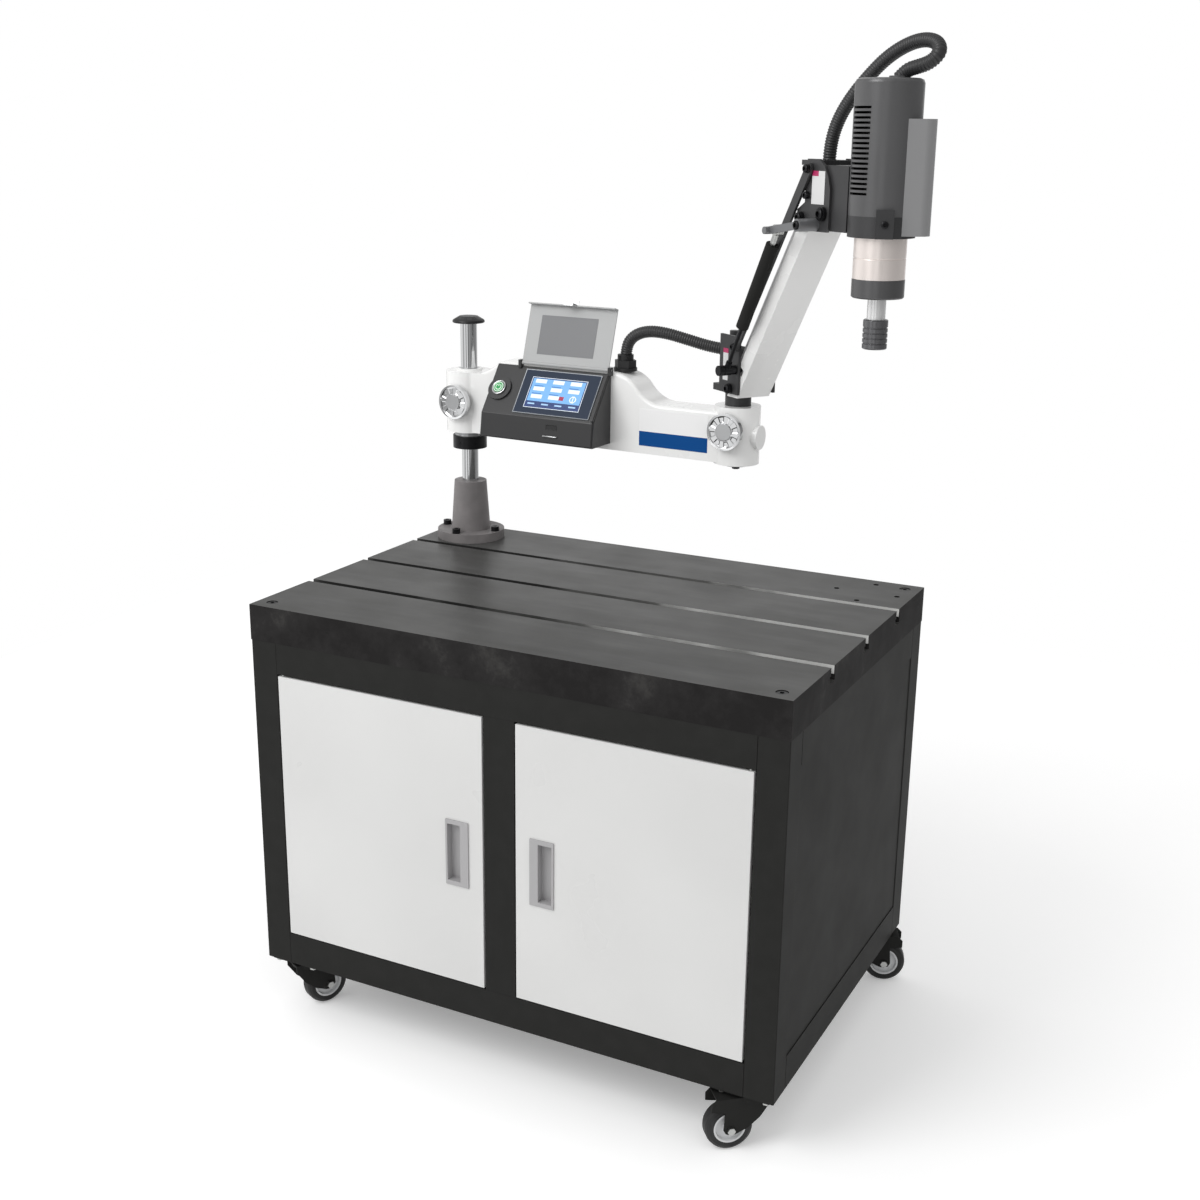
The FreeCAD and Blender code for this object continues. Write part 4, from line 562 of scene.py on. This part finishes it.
# %% Copies with bevelled edges
def softened(name, width, material, edge=None):
    """A copy of a solid with bevelled edges, in millimetres, which then stands for it."""
    source = frame["nodes"][name]
    piece = bpy.data.objects.new(name + "_skin", source.data.copy())
    bpy.context.scene.collection.objects.link(piece)
    piece.data.materials.clear()
    piece.data.materials.append(material)
    alone(piece)
    bpy.ops.mesh.customdata_custom_splitnormals_clear()
    bpy.ops.object.mode_set(mode="EDIT")
    bpy.ops.mesh.select_all(action="SELECT")
    bpy.ops.mesh.remove_doubles(threshold=0.000002)
    bpy.ops.mesh.dissolve_limited(angle_limit=math.radians(0.5))
    bpy.ops.object.mode_set(mode="OBJECT")
    if edge:
        piece.data.materials.append(edge)
    bevel = piece.modifiers.new("Edges", "BEVEL")
    bevel.width = width * mm
    bevel.segments = 2
    bevel.limit_method = "ANGLE"
    bevel.angle_limit = math.radians(38)
    bevel.material = 1 if edge else -1
    bpy.ops.object.modifier_apply(modifier=bevel.name)
    even_shading(piece, 33)
    return settle(piece, name + "_skin", Matrix.Identity(4), body_of[name], None, (name,))


# %% [markdown]
# The worktop has four finishes. Its faces are found by where they lie and where they point: the upright
# walls of the slot necks are bare steel, with painted light towards the right-hand end, the other upright
# faces are a rougher, darker oiled iron, whose darkness is painted shade, and of the bevels only the lower
# front one stays worn.

# %% Worktop
SLOT_MIDDLES = (-165, 6, 177)
plate = softened("worktop_plate", 0.9, black_plate, worn_steel)
plate.data.materials.append(plate_side_painted_shade)
plate.data.materials.append(slot_steel_and_end_light)
for face in plate.data.polygons:
    centre = face.center / mm
    at_neck = min(abs(centre.y - middle) for middle in SLOT_MIDDLES) < 9 and centre.z > 775
    front_lip = centre.z < 728 and centre.y < -338
    if at_neck and abs(face.normal.y) > 0.5:
        face.material_index = 3
    # The other upright faces take the darker side iron, whose darkness is painted shade.
    elif abs(face.normal.z) < 0.5:
        face.material_index = 2
    elif face.material_index == 1 and not front_lip:
        face.material_index = 0
print("plate faces:", len(plate.data.polygons))

# %% [markdown]
# The other solids get one finish each and a bevel between 0.4 and 2 mm, by the size of the piece. The pulls
# of the doors get a duller, darker grey in the hollow behind their rims: the darker colour is painted shade.

# %% The other rounded solids
SHADED_RECESS_FRONT = -0.3445
skins = {
    "frame_posts": (0.5, black_enamel), "frame_rails": (0.4, black_enamel),
    "door_left": (1.0, door_enamel), "door_right": (1.0, door_enamel),
    "door_left_handle": (0.7, handle_plastic), "door_right_handle": (0.7, handle_plastic),
    "caster_plates": (0.5, black_enamel), "column_base": (1.5, sand_cast), "column_cap": (2.0, black_nylon),
    "stop_collar": (1.0, black_oxide), "arm_casting": (1.2, arm_enamel), "control_box": (0.8, box_plastic),
    "cable_gland": (1.0, black_nylon), "screen_cover": (0.4, frosted), "swivel_bracket": (0.8, bracket_paint),
    "pivot_pins": (0.8, black_oxide), "head_pins": (0.8, black_oxide), "main_arm": (1.0, arm_enamel),
    "upper_arm": (0.8, shaded_white_enamel), "stay_link": (0.6, bracket_paint), "gas_cylinder": (1.2, black_enamel),
    "head_bracket": (0.7, bracket_paint), "gas_lever": (0.8, lever_steel),
    "motor_housing": (0.5, motor_paint), "motor_cover": (1.5, box_paint_painted_reflection),
    "gearbox_housing": (0.4, turned_steel), "nose_ring": (0.6, nose_steel), "chuck_body": (0.5, chuck_steel),
}
for caster in ("fl", "fr", "bl", "br"):
    skins[f"caster_{caster}_fork"] = (0.6, black_enamel)
dressed = {name: softened(name, width, material) for name, (width, material) in skins.items()}
for name in ("door_left_handle", "door_right_handle"):
    # Faces behind the rim's front get the darker grey, painted shade of the hollow.
    dressed[name].data.materials.append(handle_recess_shade)
    for face in dressed[name].data.polygons:
        face.material_index = 1 if face.center.y > SHADED_RECESS_FRONT else 0
print("rounded:", len(dressed) + 1)

# %% [markdown]
# Some solids hold two finishes: the nuts of the casters and their plate bolts are zinc-plated in black
# steel, and so is the fork end of the gas spring. Their faces are found by where they lie in the frame of
# the caster or of the spring, and given a second material.

# %% Zinc-plated nuts, bolts and fork end
def replated(piece, place, wanted):
    """Gives zinc to the faces whose centre, in millimetres in the frame of `place`, is wanted."""
    piece.data.materials.append(zinc)
    count = 0
    back = place.inverted()
    for face in piece.data.polygons:
        if wanted(back @ face.center / mm):
            face.material_index = len(piece.data.materials) - 1
            count += 1
    return count


BAR_LOW = (47, 394)
WHEEL_AXLE = (37, 40)
plated = 0
for name, (x, y, heading) in {"fl": (-445, -300, 65), "fr": (445, -300, 220), "bl": (-445, 300, 155),
                              "br": (445, 300, 20)}.items():
    plated += replated(dressed[f"caster_{name}_fork"], carried((x, y, 0), heading),
                       lambda at: math.dist((at.x, at.z), WHEEL_AXLE) < 9 and abs(at.y) > 20.05)
    plated += replated(dressed["caster_plates"], carried((x, y, 0)),
                       lambda at: math.hypot(abs(at.x) - 38, abs(at.y) - 27) < 7.5 and at.z < 103.9)
SPRING = LIFT @ carried((BAR_LOW[0], 0, BAR_LOW[1])) @ Matrix.Rotation(math.radians(-60.28), 4, "Y")
plated += replated(dressed["gas_cylinder"], SPRING, lambda at: at.x > 257.5)
print("zinc faces:", plated)

# %% [markdown]
# ## Clamp knobs
# Each knob is a chromed handwheel. A ring of eight shallow finger recesses is pressed into its face around
# a satin cap. It starts as a cylinder with 96 sides: insets make the rim, the trough and the cap, and in
# every twelve sides seven faces of the trough are pushed in.

# %% A clamp knob
def in_recess(centre, normal):
    """True for the faces of the trough that lie in one of the eight recesses."""
    radius = math.hypot(centre.x, centre.y) / mm
    part = math.degrees(math.atan2(centre.y, centre.x)) % 45
    return normal.z > 0.5 and 18 < radius < 27.5 and part < 26.25


def clamp_knob(name, reach, body):
    """A knob on the front of the first arm, `reach` millimetres from the post."""
    knob = new_rod(33, 11, (0, 0, 52.5), 96)
    edit(knob, top_face, step_in(3.6, 0.4), step_in(1.4, -1.0), step_in(1.2, 0), step_in(9.8, 0.5),
         step_in(0.8, 0), step_in(1.0, 1.3), step_in(1.4, 0.4))
    edit(knob, in_recess, step_in(1.8, -1.0))
    knob.data.materials.append(chrome)
    knob.data.materials.append(satin_chrome)
    cap_radius = 15.2
    for face in knob.data.polygons:
        radius = math.hypot(face.center.x, face.center.y) / mm
        face.material_index = 1 if radius < cap_radius and face.normal.z > 0.5 else 0
    rounded(knob, 0.4, 3, 25)
    stem = new_rod(6, 31, (0, 0, 32))
    stem.data.materials.append(zinc)
    edit(stem, lambda centre, normal: normal.z < -0.99, inset(1), move(z=-0.5))
    joined(knob, stem)
    place = ARM @ carried((reach, 0, 281), 0, 90)
    settle(knob, name + "_wheel", place, body, None, (name,))
    print(name, "faces:", len(knob.data.polygons))


clamp_knob("column_knob", 0, "clamp_knob")
clamp_knob("swivel_knob", ARM_REACH, "swivel_clamp_knob")

# %% [markdown]
# ## Display
# The touch panel has a slate bezel with a thin pale edge. Its picture is drawn with the faces of a fine
# grid: choosing faces by row and column and giving them a colour is how one would fill in squared paper.
# The layout is a plain one: nine value fields in three columns, a stop field, a dial and a row of keys.

# %% Glowing colours of the display
def glowing(name, code, strength):
    """A smooth finish that gives off a little light of its own colour."""
    material, tree, surface = begin(name, code, Roughness=0.25, Emission_Strength=strength)
    surface.inputs["Emission Color"].default_value = colour(code)
    grain(tree, surface, 2000, 0.02, 0.0001)
    return material


field_blue = glowing("display_blue", "#70A6DA", 0.25)
deep_blue = glowing("display_deep_blue", "#20386E", 0.15)
field_white = glowing("display_white", "#DCE6F0", 0.25)
label_pale = glowing("display_label", "#9FC3E6", 0.2)
label_blue = glowing("display_mid_blue", "#4376B8", 0.2)
stop_red = glowing("display_red", "#A02545", 0.2)
bezel_slate = finish("slate_bezel", "#2E3747", (1500, 0.05, 0.0001),
                     Roughness=0.36, Specular_IOR_Level=0.15)
bezel_edge = finish("pale_bezel_edge", "#8D9196", (1500, 0.05, 0.0001), Roughness=0.35, Metallic=0.5)
print("finishes so far:", len(bpy.data.materials))

# %% [markdown]
# The bezel is a block whose face is inset once. The narrow band outside the inset keeps the pale edge, and
# the face inside it sinks a little.

# %% Bezel
bezel = new_block((165, 92, 9.5), (0, 0, -2.25))
edit(bezel, top_face, inset(1.6))
edit(bezel, lambda centre, normal: normal.z > 0.99 and centre.length < 0.01, move(z=-0.4))
for material in (bezel_slate, bezel_edge):
    bezel.data.materials.append(material)
for face in bezel.data.polygons:
    face.material_index = 0 if face.center.length < 0.003 and face.normal.z > 0.99 else 1
rounded(bezel, 0.3)
settle(bezel, "display_bezel", SLOPE, "first_arm", None, ("touch_screen",))
print("bezel faces:", len(bezel.data.polygons))

# %% [markdown]
# The picture is a grid of 120 by 64 faces, one millimetre each. A white line and a dark one frame it, and
# the fields, their labels, the keys, the dial and the stop field are filled in by row and column.

# %% Picture on the display
columns, rows = 120, 64
bpy.ops.mesh.primitive_grid_add(x_subdivisions=columns, y_subdivisions=rows, size=1, location=(0, 0, 0))
picture = bpy.context.active_object
picture.scale = (columns * mm, rows * mm, 1)
picture.location = (-3 * mm, -1 * mm, 2.25 * mm)
bpy.ops.object.transform_apply(location=True, scale=True)
inks = {"blue": field_blue, "deep": deep_blue, "white": field_white, "pale": label_pale, "red": stop_red,
        "middle": label_blue}
for material in inks.values():
    picture.data.materials.append(material)


def ink_at(x, y):
    """The colour at a column and row of the squared paper, counted from the lower left corner."""
    if x < 1.4 or x > 118.6 or y < 1.4 or y > 62.6:
        return "white"
    if x < 3.2 or x > 116.8 or y < 3.2 or y > 60.8:
        return "deep"
    if y < 14:
        return "pale" if 7 < y < 9.5 and 7 < x % 29.6 < 22 else "deep"
    if 70 <= x < 80 and 20 <= y < 28:
        return "red"
    if 85 <= x < 112 and 17 <= y < 33:
        away = math.hypot(x - 100, y - 24)
        return "white" if away < 7 and (away > 5 or abs(x - 100) < 1.2) else "blue"
    for left in (9, 47, 85):
        for low in (20, 36, 52):
            if left <= x < left + 20 and low + 9 <= y < low + 11:
                return "middle"
            if left <= x < left + 24 and low <= y < low + 8:
                return "white"
    return "blue"


order = list(inks)
for face in picture.data.polygons:
    ink = ink_at(face.center.x / mm + 63, face.center.y / mm + 33)
    face.material_index = order.index(ink)
alone(picture)
bpy.ops.object.mode_set(mode="EDIT")
bpy.ops.mesh.select_all(action="SELECT")
pull(z=-0.12)()
bpy.ops.mesh.select_all(action="SELECT")
bpy.ops.mesh.normals_make_consistent(inside=False)
bpy.ops.object.mode_set(mode="OBJECT")
settle(picture, "display_picture", SLOPE, "first_arm", None)
print("display faces:", len(picture.data.polygons))

# %% [markdown]
# ## Start button
# A lit push-button stands on a low dome left of the display: a chromed ring, a green cap and the usual
# on-off sign, an open ring with a stroke, which is the same on any machine.

# %% Start button
button_green = glowing("button_green", "#2E8F4E", 0.2)
button_pale = glowing("button_sign", "#E4F2E6", 0.2)
cap = new_rod(11, 16, sides=72)
edit(cap, top_face, step_in(0.8, 0.3), step_in(1.2, 0), step_in(1.2, -0.3), step_in(1.6, 0),
     step_in(1.2, 0.2), step_in(2.4, 0))
for material in (button_green, button_pale, satin_chrome):
    cap.data.materials.append(material)
for face in cap.data.polygons:
    radius = math.hypot(face.center.x, face.center.y) / mm
    bearing = math.degrees(math.atan2(face.center.y, face.center.x))
    sign = 4.9 < radius < 6.3 and not 60 < bearing < 120
    face.material_index = 2 if face.normal.z < 0.5 else 1 if sign or 9.0 < radius < 10.2 else 0
stroke = new_block((1.2, 5, 0.5), (0, 3.6, 8.2))
stroke.data.materials.append(button_pale)
joined(cap, stroke)
rounded(cap, 0.2)
BUTTON = ARM @ carried((119, -70.5, 320), 0, PANEL_TILT)
settle(cap, "start_button", BUTTON, "button", None, ("power_button",))

bpy.ops.mesh.primitive_torus_add(major_radius=13.1 * mm, minor_radius=1.7 * mm, major_segments=72,
                                 minor_segments=16, location=(0, 0, 5.8 * mm))
ring = bpy.context.active_object
bpy.ops.object.transform_apply(location=True)
edit(ring, lambda centre, normal: normal.z < -0.7, move(z=-0.8))
alone(ring)
bpy.ops.object.shade_smooth()
settle(ring, "start_button_ring", BUTTON, "first_arm", chrome)
print("button faces:", len(cap.data.polygons))

# %% [markdown]
# ## Latch and rim of the control box
# Below the display the box has a small pocket for the cover's tongue and a bent wire staple that
# holds it. The sloping panel ends at the right in a raised rim. The pocket is a shallow black tray laid on
# the box face and pressed in by an inset; its black is painted shade of the recess. The staple is a short
# bar on two round feet, and the rim is a bar with softened edges.

# %% Latch pocket, staple and rim
# A thin black tray where the recess is: its black, darker than the box, is painted shade.
pocket = new_block((24, 10, 0.8), (0, 0, 0.1))
edit(pocket, top_face, step_in(0.8, 0), step_in(0.6, -0.5))
rounded(pocket, 0.12)
settle(pocket, "latch_pocket_painted_shade", ARM @ carried((252, -103, 263), 0, FRONT_TILT), "first_arm",
       black_nylon)

bpy.ops.mesh.primitive_cylinder_add(vertices=24, radius=1.6 * mm, depth=30 * mm,
                                    rotation=(0, math.pi / 2, 0))
staple = bpy.context.active_object
bpy.ops.object.transform_apply(rotation=True)
edit(staple, lambda centre, normal: abs(normal.x) > 0.99,
     lambda: bpy.ops.mesh.bevel(offset=0.6 * mm, segments=2))
for side in (-1, 1):
    foot = new_rod(1.9, 5, (side * 13.9, 0, -1.6), 24)
    edit(foot, top_face, lambda: bpy.ops.mesh.bevel(offset=0.8 * mm, segments=3))
    joined(staple, foot)
alone(staple)
bpy.ops.object.shade_smooth_by_angle(angle=math.radians(40))
settle(staple, "latch_staple", ARM @ carried((251, -107.6, 246.5), 0, FRONT_TILT), "first_arm",
       satin_chrome)

rim = new_block((4.6, 98, 4.4), (91.6, 0, 1.6))
edit(rim, top_face, step_in(1.2, 0.3))
rounded(rim, 1.2, 3)
settle(rim, "box_rim", SLOPE, "first_arm", box_plastic)
print("latch pieces:", len(staple.data.polygons), "faces in the staple")

# %% [markdown]
# ## Display cover
# The frosted cover has a smoked pane in its middle and a folded steel catch at its free edge. The pane is
# a thin sheet laid on the cover's face. The catch is a strip bent down at the front, with an upright tongue
# behind it.

# %% Smoked pane and catch
pane = new_block((122, 0.6, 74), (-4, -1.55, 55))
edit(pane, front_face, inset(1), move(y=0.15))
rounded(pane, 0.12)
COVER = ARM @ carried((244, -40, 369), 0, -17)
settle(pane, "cover_pane", COVER, "cover", smoked)

catch = new_block((20, 17, 1.4), (0, -13.5, 114.2))
edit(catch, front_face, pull(y=-1.4))
edit(catch, lambda centre, normal: normal.z < -0.99 and centre.y < -22 * mm, pull(z=-4))
tongue = new_block((20, 1.4, 10), (0, -0.9, 118.2))
joined(catch, tongue)
rounded(catch, 0.3)
settle(catch, "cover_catch", COVER, "cover", satin_chrome)
print("catch faces:", len(catch.data.polygons))

# %% [markdown]
# ## Conduit
# The cables run in a corrugated nylon conduit. Its centre line is a smooth curve through a few points,
# and the tube swells and narrows every 4.4 mm along it. The curve is drawn first, its points are read
# back, and rings of alternating size are strung on it: two wide ones and two narrow ones make a rib.

# %% Ribbed conduit
RING_GAP = 1.1
RING_RADII = (10.9, 10.9, 9.9, 9.9)
RING_SIDES = 28


def centre_line(points, place):
    """A smooth curve on control points in millimetres, read back as the points along it."""
    curve = bpy.data.curves.new("line", "CURVE")
    curve.dimensions = "3D"
    curve.resolution_u = 32
    spline = curve.splines.new("NURBS")
    spline.points.add(len(points) - 1)
    for spot, point in zip(spline.points, points):
        spot.co = (*(place @ (Vector(point) * mm)), 1)
    spline.order_u = 3
    spline.use_endpoint_u = True
    carrier = bpy.data.objects.new("line", curve)
    bpy.context.scene.collection.objects.link(carrier)
    bpy.context.view_layer.update()
    mesh = bpy.data.meshes.new_from_object(carrier.evaluated_get(bpy.context.evaluated_depsgraph_get()))
    line = [vertex.co.copy() for vertex in mesh.vertices]
    bpy.data.objects.remove(carrier)
    return line


def spaced(line, gap):
    """Points about `gap` apart along a line, both ends included, and the line's length."""
    reach = [0.0]
    for before, after in zip(line, line[1:]):
        reach.append(reach[-1] + (after - before).length)
    count = max(4, round(reach[-1] / gap))
    spots = []
    at = 0
    for step in range(count + 1):
        want = reach[-1] * step / count
        while at < len(reach) - 2 and reach[at + 1] < want:
            at += 1
        share = (want - reach[at]) / (reach[at + 1] - reach[at])
        spots.append(line[at].lerp(line[at + 1], share))
    return spots, reach[-1]


def ribbed(name, points, place, body, replaced):
    """A stretch of conduit along control points: rings of vertices, joined by faces, with closed ends."""
    spots, length = spaced(centre_line(points, place), RING_GAP * mm)
    corners = []
    faces = []
    side = (spots[1] - spots[0]).orthogonal().normalized()
    for index, spot in enumerate(spots):
        along = (spots[min(index + 1, len(spots) - 1)] - spots[max(index - 1, 0)]).normalized()
        side = (side - along * side.dot(along)).normalized()
        other = along.cross(side)
        radius = RING_RADII[index % len(RING_RADII)] * mm
        for step in range(RING_SIDES):
            turn = 2 * math.pi * step / RING_SIDES
            corners.append(spot + (side * math.cos(turn) + other * math.sin(turn)) * radius)
    last = (len(spots) - 1) * RING_SIDES
    for ring in range(0, last, RING_SIDES):
        for step in range(RING_SIDES):
            after = (step + 1) % RING_SIDES
            faces.append((ring + step, ring + after, ring + RING_SIDES + after, ring + RING_SIDES + step))
    faces.append(tuple(range(RING_SIDES))[::-1])
    faces.append(tuple(last + step for step in range(RING_SIDES)))
    mesh = bpy.data.meshes.new(name)
    mesh.from_pydata(corners, [], faces)
    hose = bpy.data.objects.new(name, mesh)
    bpy.context.scene.collection.objects.link(hose)
    alone(hose)
    bpy.ops.object.shade_smooth_by_angle(angle=math.radians(60))
    settle(hose, name, Matrix.Identity(4), body, conduit_rubber, (replaced,))
    print(name, "is", round(length / mm), "mm long")


# %% [markdown]
# The conduit has three stretches. The first rides on the first arm, from the gland to the swivel. The
# second lies in the channel arm, 6 mm below the line through its pivots. The third rides on the head and
# loops over the motor to its lid. Each starts where the one before it ends.

# %% Three stretches of conduit
CHANNEL_RISE = math.radians(57.4)
HOSE_DROP = 6
HOSE_BACK = 15
SWIVEL_HIGH = 414


def in_channel(along):
    """A point on the conduit's line in the channel arm, in the second arm's frame."""
    return (LOW_PIVOT[0] + along * math.cos(CHANNEL_RISE) + HOSE_DROP * math.sin(CHANNEL_RISE), HOSE_BACK,
            LOW_PIVOT[1] + along * math.sin(CHANNEL_RISE) - HOSE_DROP * math.cos(CHANNEL_RISE))


meeting = ARM.inverted() @ LIFT
before_meeting = tuple(meeting @ (Vector((-36, HOSE_BACK, SWIVEL_HIGH)) * mm) / mm)
at_meeting = tuple(meeting @ (Vector((0, HOSE_BACK, SWIVEL_HIGH)) * mm) / mm)
ribbed("conduit_lower", [(351, 0, 371), (351, 0, 408), (366, 0, 430), (394, 1, 441), (430, 4, 440),
                         (470, 13, 430), (514, 25, 418), before_meeting, at_meeting],
       ARM, "first_arm", "hose_lower")
rise_in_channel = SWIVEL_HIGH - LOW_PIVOT[1] + HOSE_DROP * math.cos(CHANNEL_RISE)
corner = in_channel(rise_in_channel / math.sin(CHANNEL_RISE))
ribbed("conduit_middle", [(0, HOSE_BACK, SWIVEL_HIGH), corner, in_channel(300)], LIFT, "lift_channel",
       "hose_middle")
over_motor = [(224.5, 12.5, 672), (226, 10, 712), (226, 10, 762), (232, 11, 793), (246.5, 13, 821),
              (267.5, 18, 849), (294, 28, 879), (320.5, 39.5, 905), (353.5, 50, 923), (386.5, 57, 930),
              (414.5, 60, 925), (431.5, 53, 910), (422.5, 42, 895), (402.5, 33, 889), (386.5, 27, 885),
              (376.5, 22, 873)]
ribbed("conduit_upper", [in_channel(300), in_channel(334), *over_motor], LIFT, "head", "hose_upper")

# %% [markdown]
# ## Release sleeve
# Pushing this sleeve up frees a tap holder. It is blackened steel with four grip grooves. Half its outline
# is drawn as a line of points and spun about the axis.

# %% Release sleeve
bore, lip, outer, groove = 14.6, 18, 19.5, 17.9
outline = [(bore, 470), (lip, 470), (outer, 471.5), (outer, 477)]
for low in (478, 486, 494, 502):
    outline += [(outer, low), (groove, low + 0.6), (groove, low + 1.9), (outer, low + 2.5)]
outline += [(outer, 514.5), (lip, 516), (bore, 516)]
mesh = bpy.data.meshes.new("sleeve")
mesh.from_pydata([(radius * mm, 0, height * mm) for radius, height in outline],
                 [(i, (i + 1) % len(outline)) for i in range(len(outline))], [])
sleeve = bpy.data.objects.new("sleeve", mesh)
bpy.context.scene.collection.objects.link(sleeve)
alone(sleeve)
bpy.ops.object.mode_set(mode="EDIT")
bpy.ops.mesh.select_all(action="SELECT")
bpy.ops.mesh.spin(steps=96, angle=2 * math.pi, center=(0, 0, 0), axis=(0, 0, 1))
bpy.ops.mesh.select_all(action="SELECT")
bpy.ops.mesh.remove_doubles(threshold=0.00001)
bpy.ops.mesh.normals_make_consistent(inside=False)
bpy.ops.object.mode_set(mode="OBJECT")
rounded(sleeve, 0.25)
settle(sleeve, "grooved_release_sleeve", LIFT @ carried((MOTOR_REACH, 0, 0)), "release_sleeve",
       sleeve_steel, ("chuck_sleeve",))
print("sleeve faces:", len(sleeve.data.polygons))

# %% [markdown]
# ## Bolt sockets
# The pivots end in button-head bolts with a hexagon socket. One head is modelled, with a radius of one
# metre: a cylinder whose face is inset to a pocket and pushed in. Each bolt then gets a copy, scaled down
# to its own radius, with a mesh of its own.

# %% Button heads with sockets
bpy.ops.mesh.primitive_cylinder_add(vertices=48, radius=1, depth=0.36, location=(0, 0, 0.18))
pattern = bpy.context.active_object
bpy.ops.object.transform_apply(location=True)


def ring_in(width, rise):
    """An edit step at the pattern's own scale: insets the selected faces, then raises or sinks them."""
    def run():
        bpy.ops.mesh.inset(thickness=width)
        bpy.ops.transform.translate(value=(0, 0, rise))
    return run


edit(pattern, lambda centre, normal: normal.z > 0.99, ring_in(0.22, 0.16), ring_in(0.26, 0.02),
     ring_in(0.04, -0.5))
rounded(pattern, 30, 2, 40)
pattern.data.materials.append(black_oxide)


def button_head(name, frame_at, spot, radius, front, body):
    """A copy of the head at (reach, y, height), facing the front (-y) or the back."""
    head = bpy.data.objects.new(name, pattern.data.copy())
    bpy.context.scene.collection.objects.link(head)
    turned = Matrix.Rotation(math.radians(90 if front else -90), 4, "X")
    place = frame_at @ carried(spot) @ turned @ Matrix.Scale(radius * mm, 4)
    settle(head, name, place, body, None)


PIVOT_OUT = 45.5
LINK_OUT = -50
PIVOT_HEAD = 7.6
GRIP = LIFT @ carried((MOTOR_REACH, 0, 662), 57)
button_head("lift_bolt_back", LIFT, (LOW_PIVOT[0], PIVOT_OUT, LOW_PIVOT[1]), PIVOT_HEAD, False, "swivel")
button_head("bar_bolt_back", LIFT, (BAR_LOW[0], PIVOT_OUT, BAR_LOW[1]), PIVOT_HEAD, False, "swivel")
button_head("lift_bolt_front", LIFT, (LOW_PIVOT[0], -PIVOT_OUT, LOW_PIVOT[1]), PIVOT_HEAD, True, "swivel")
button_head("stay_bolt_low", LIFT, (52.5, LINK_OUT, 435), 6, True, "swivel")
button_head("head_bolt_front", LIFT, (HIGH_PIVOT[0], -PIVOT_OUT, HIGH_PIVOT[1]), PIVOT_HEAD, True, "head")
button_head("head_bolt_back", LIFT, (HIGH_PIVOT[0], PIVOT_OUT, HIGH_PIVOT[1]), PIVOT_HEAD, False, "head")
button_head("stay_bolt_high", LIFT, (HIGH_PIVOT[0] + 20.5, LINK_OUT, HIGH_PIVOT[1] + 76), 6, True, "head")
button_head("tilt_bolt", LIFT, (284.5, -PIVOT_OUT, 671), 8.8, True, "head")
button_head("bar_bolt_high", LIFT, (241.5, -44.5, 698.1), 5.8, True, "head")
button_head("lever_bolt", LIFT, (267, -76.5, 653.5), 7, True, "head")
button_head("grip_bolt", GRIP, (0, -57, 0), 5.5, True, "head")
print("faces of a bolt head:", len(pattern.data.polygons))
bpy.data.objects.remove(pattern)

# %% [markdown]
# ## Name plates
# The arm carries a two-tone plate and each bracket a small one. They are left bare, as blank vinyl: a
# thin sheet, its face a hair below its edge so that the edge catches light.

# %% Blank plates
vinyl_white = finish("white_vinyl", "#F4F4F4", (500, 0.03, 0.0002), Roughness=0.3)
vinyl_blue = finish("blue_vinyl", "#00498C", (500, 0.03, 0.0002), Roughness=0.45, Specular_IOR_Level=0.15)
vinyl_grey = finish("grey_vinyl", "#D6D6D6", (500, 0.03, 0.0002), Roughness=0.4)
vinyl_plum = finish("plum_vinyl", "#B02A5E", (500, 0.03, 0.0002), Roughness=0.4)


def blank_plate(name, place, across, up, front, body, material):
    """A bare plate between two reaches and two heights, its back at `front` in the frame of `place`."""
    thick = 0.35
    plate = new_block((across[1] - across[0], thick, up[1] - up[0]),
                      (sum(across) / 2, front - thick / 2, sum(up) / 2))
    edit(plate, front_face, inset(0.5), move(y=0.06))
    rounded(plate, 0.08)
    settle(plate, name, place, body, material)


ARM_FRONT = -35
BRACKET_FRONT = -39.5
blank_plate("arm_plate_white", ARM, (401, 541), (262, 304), ARM_FRONT, "first_arm", vinyl_white)
blank_plate("arm_plate_blue", ARM, (401, 541), (235, 262), ARM_FRONT, "first_arm", vinyl_blue)
blank_plate("low_bracket_plate", LIFT, (8, 24), (372, 420), BRACKET_FRONT, "swivel", vinyl_grey)
blank_plate("low_bracket_band", LIFT, (8, 24), (420, 428), BRACKET_FRONT, "swivel", vinyl_plum)
blank_plate("high_bracket_plate", LIFT, (252, 286), (685, 728), BRACKET_FRONT, "head", vinyl_grey)
blank_plate("high_bracket_band", LIFT, (252, 269), (728, 736), BRACKET_FRONT, "head", vinyl_plum)
blank_plate("high_bracket_corner", LIFT, (269, 286), (728, 736), BRACKET_FRONT, "head", vinyl_grey)
print("finishes in all:", len(bpy.data.materials))
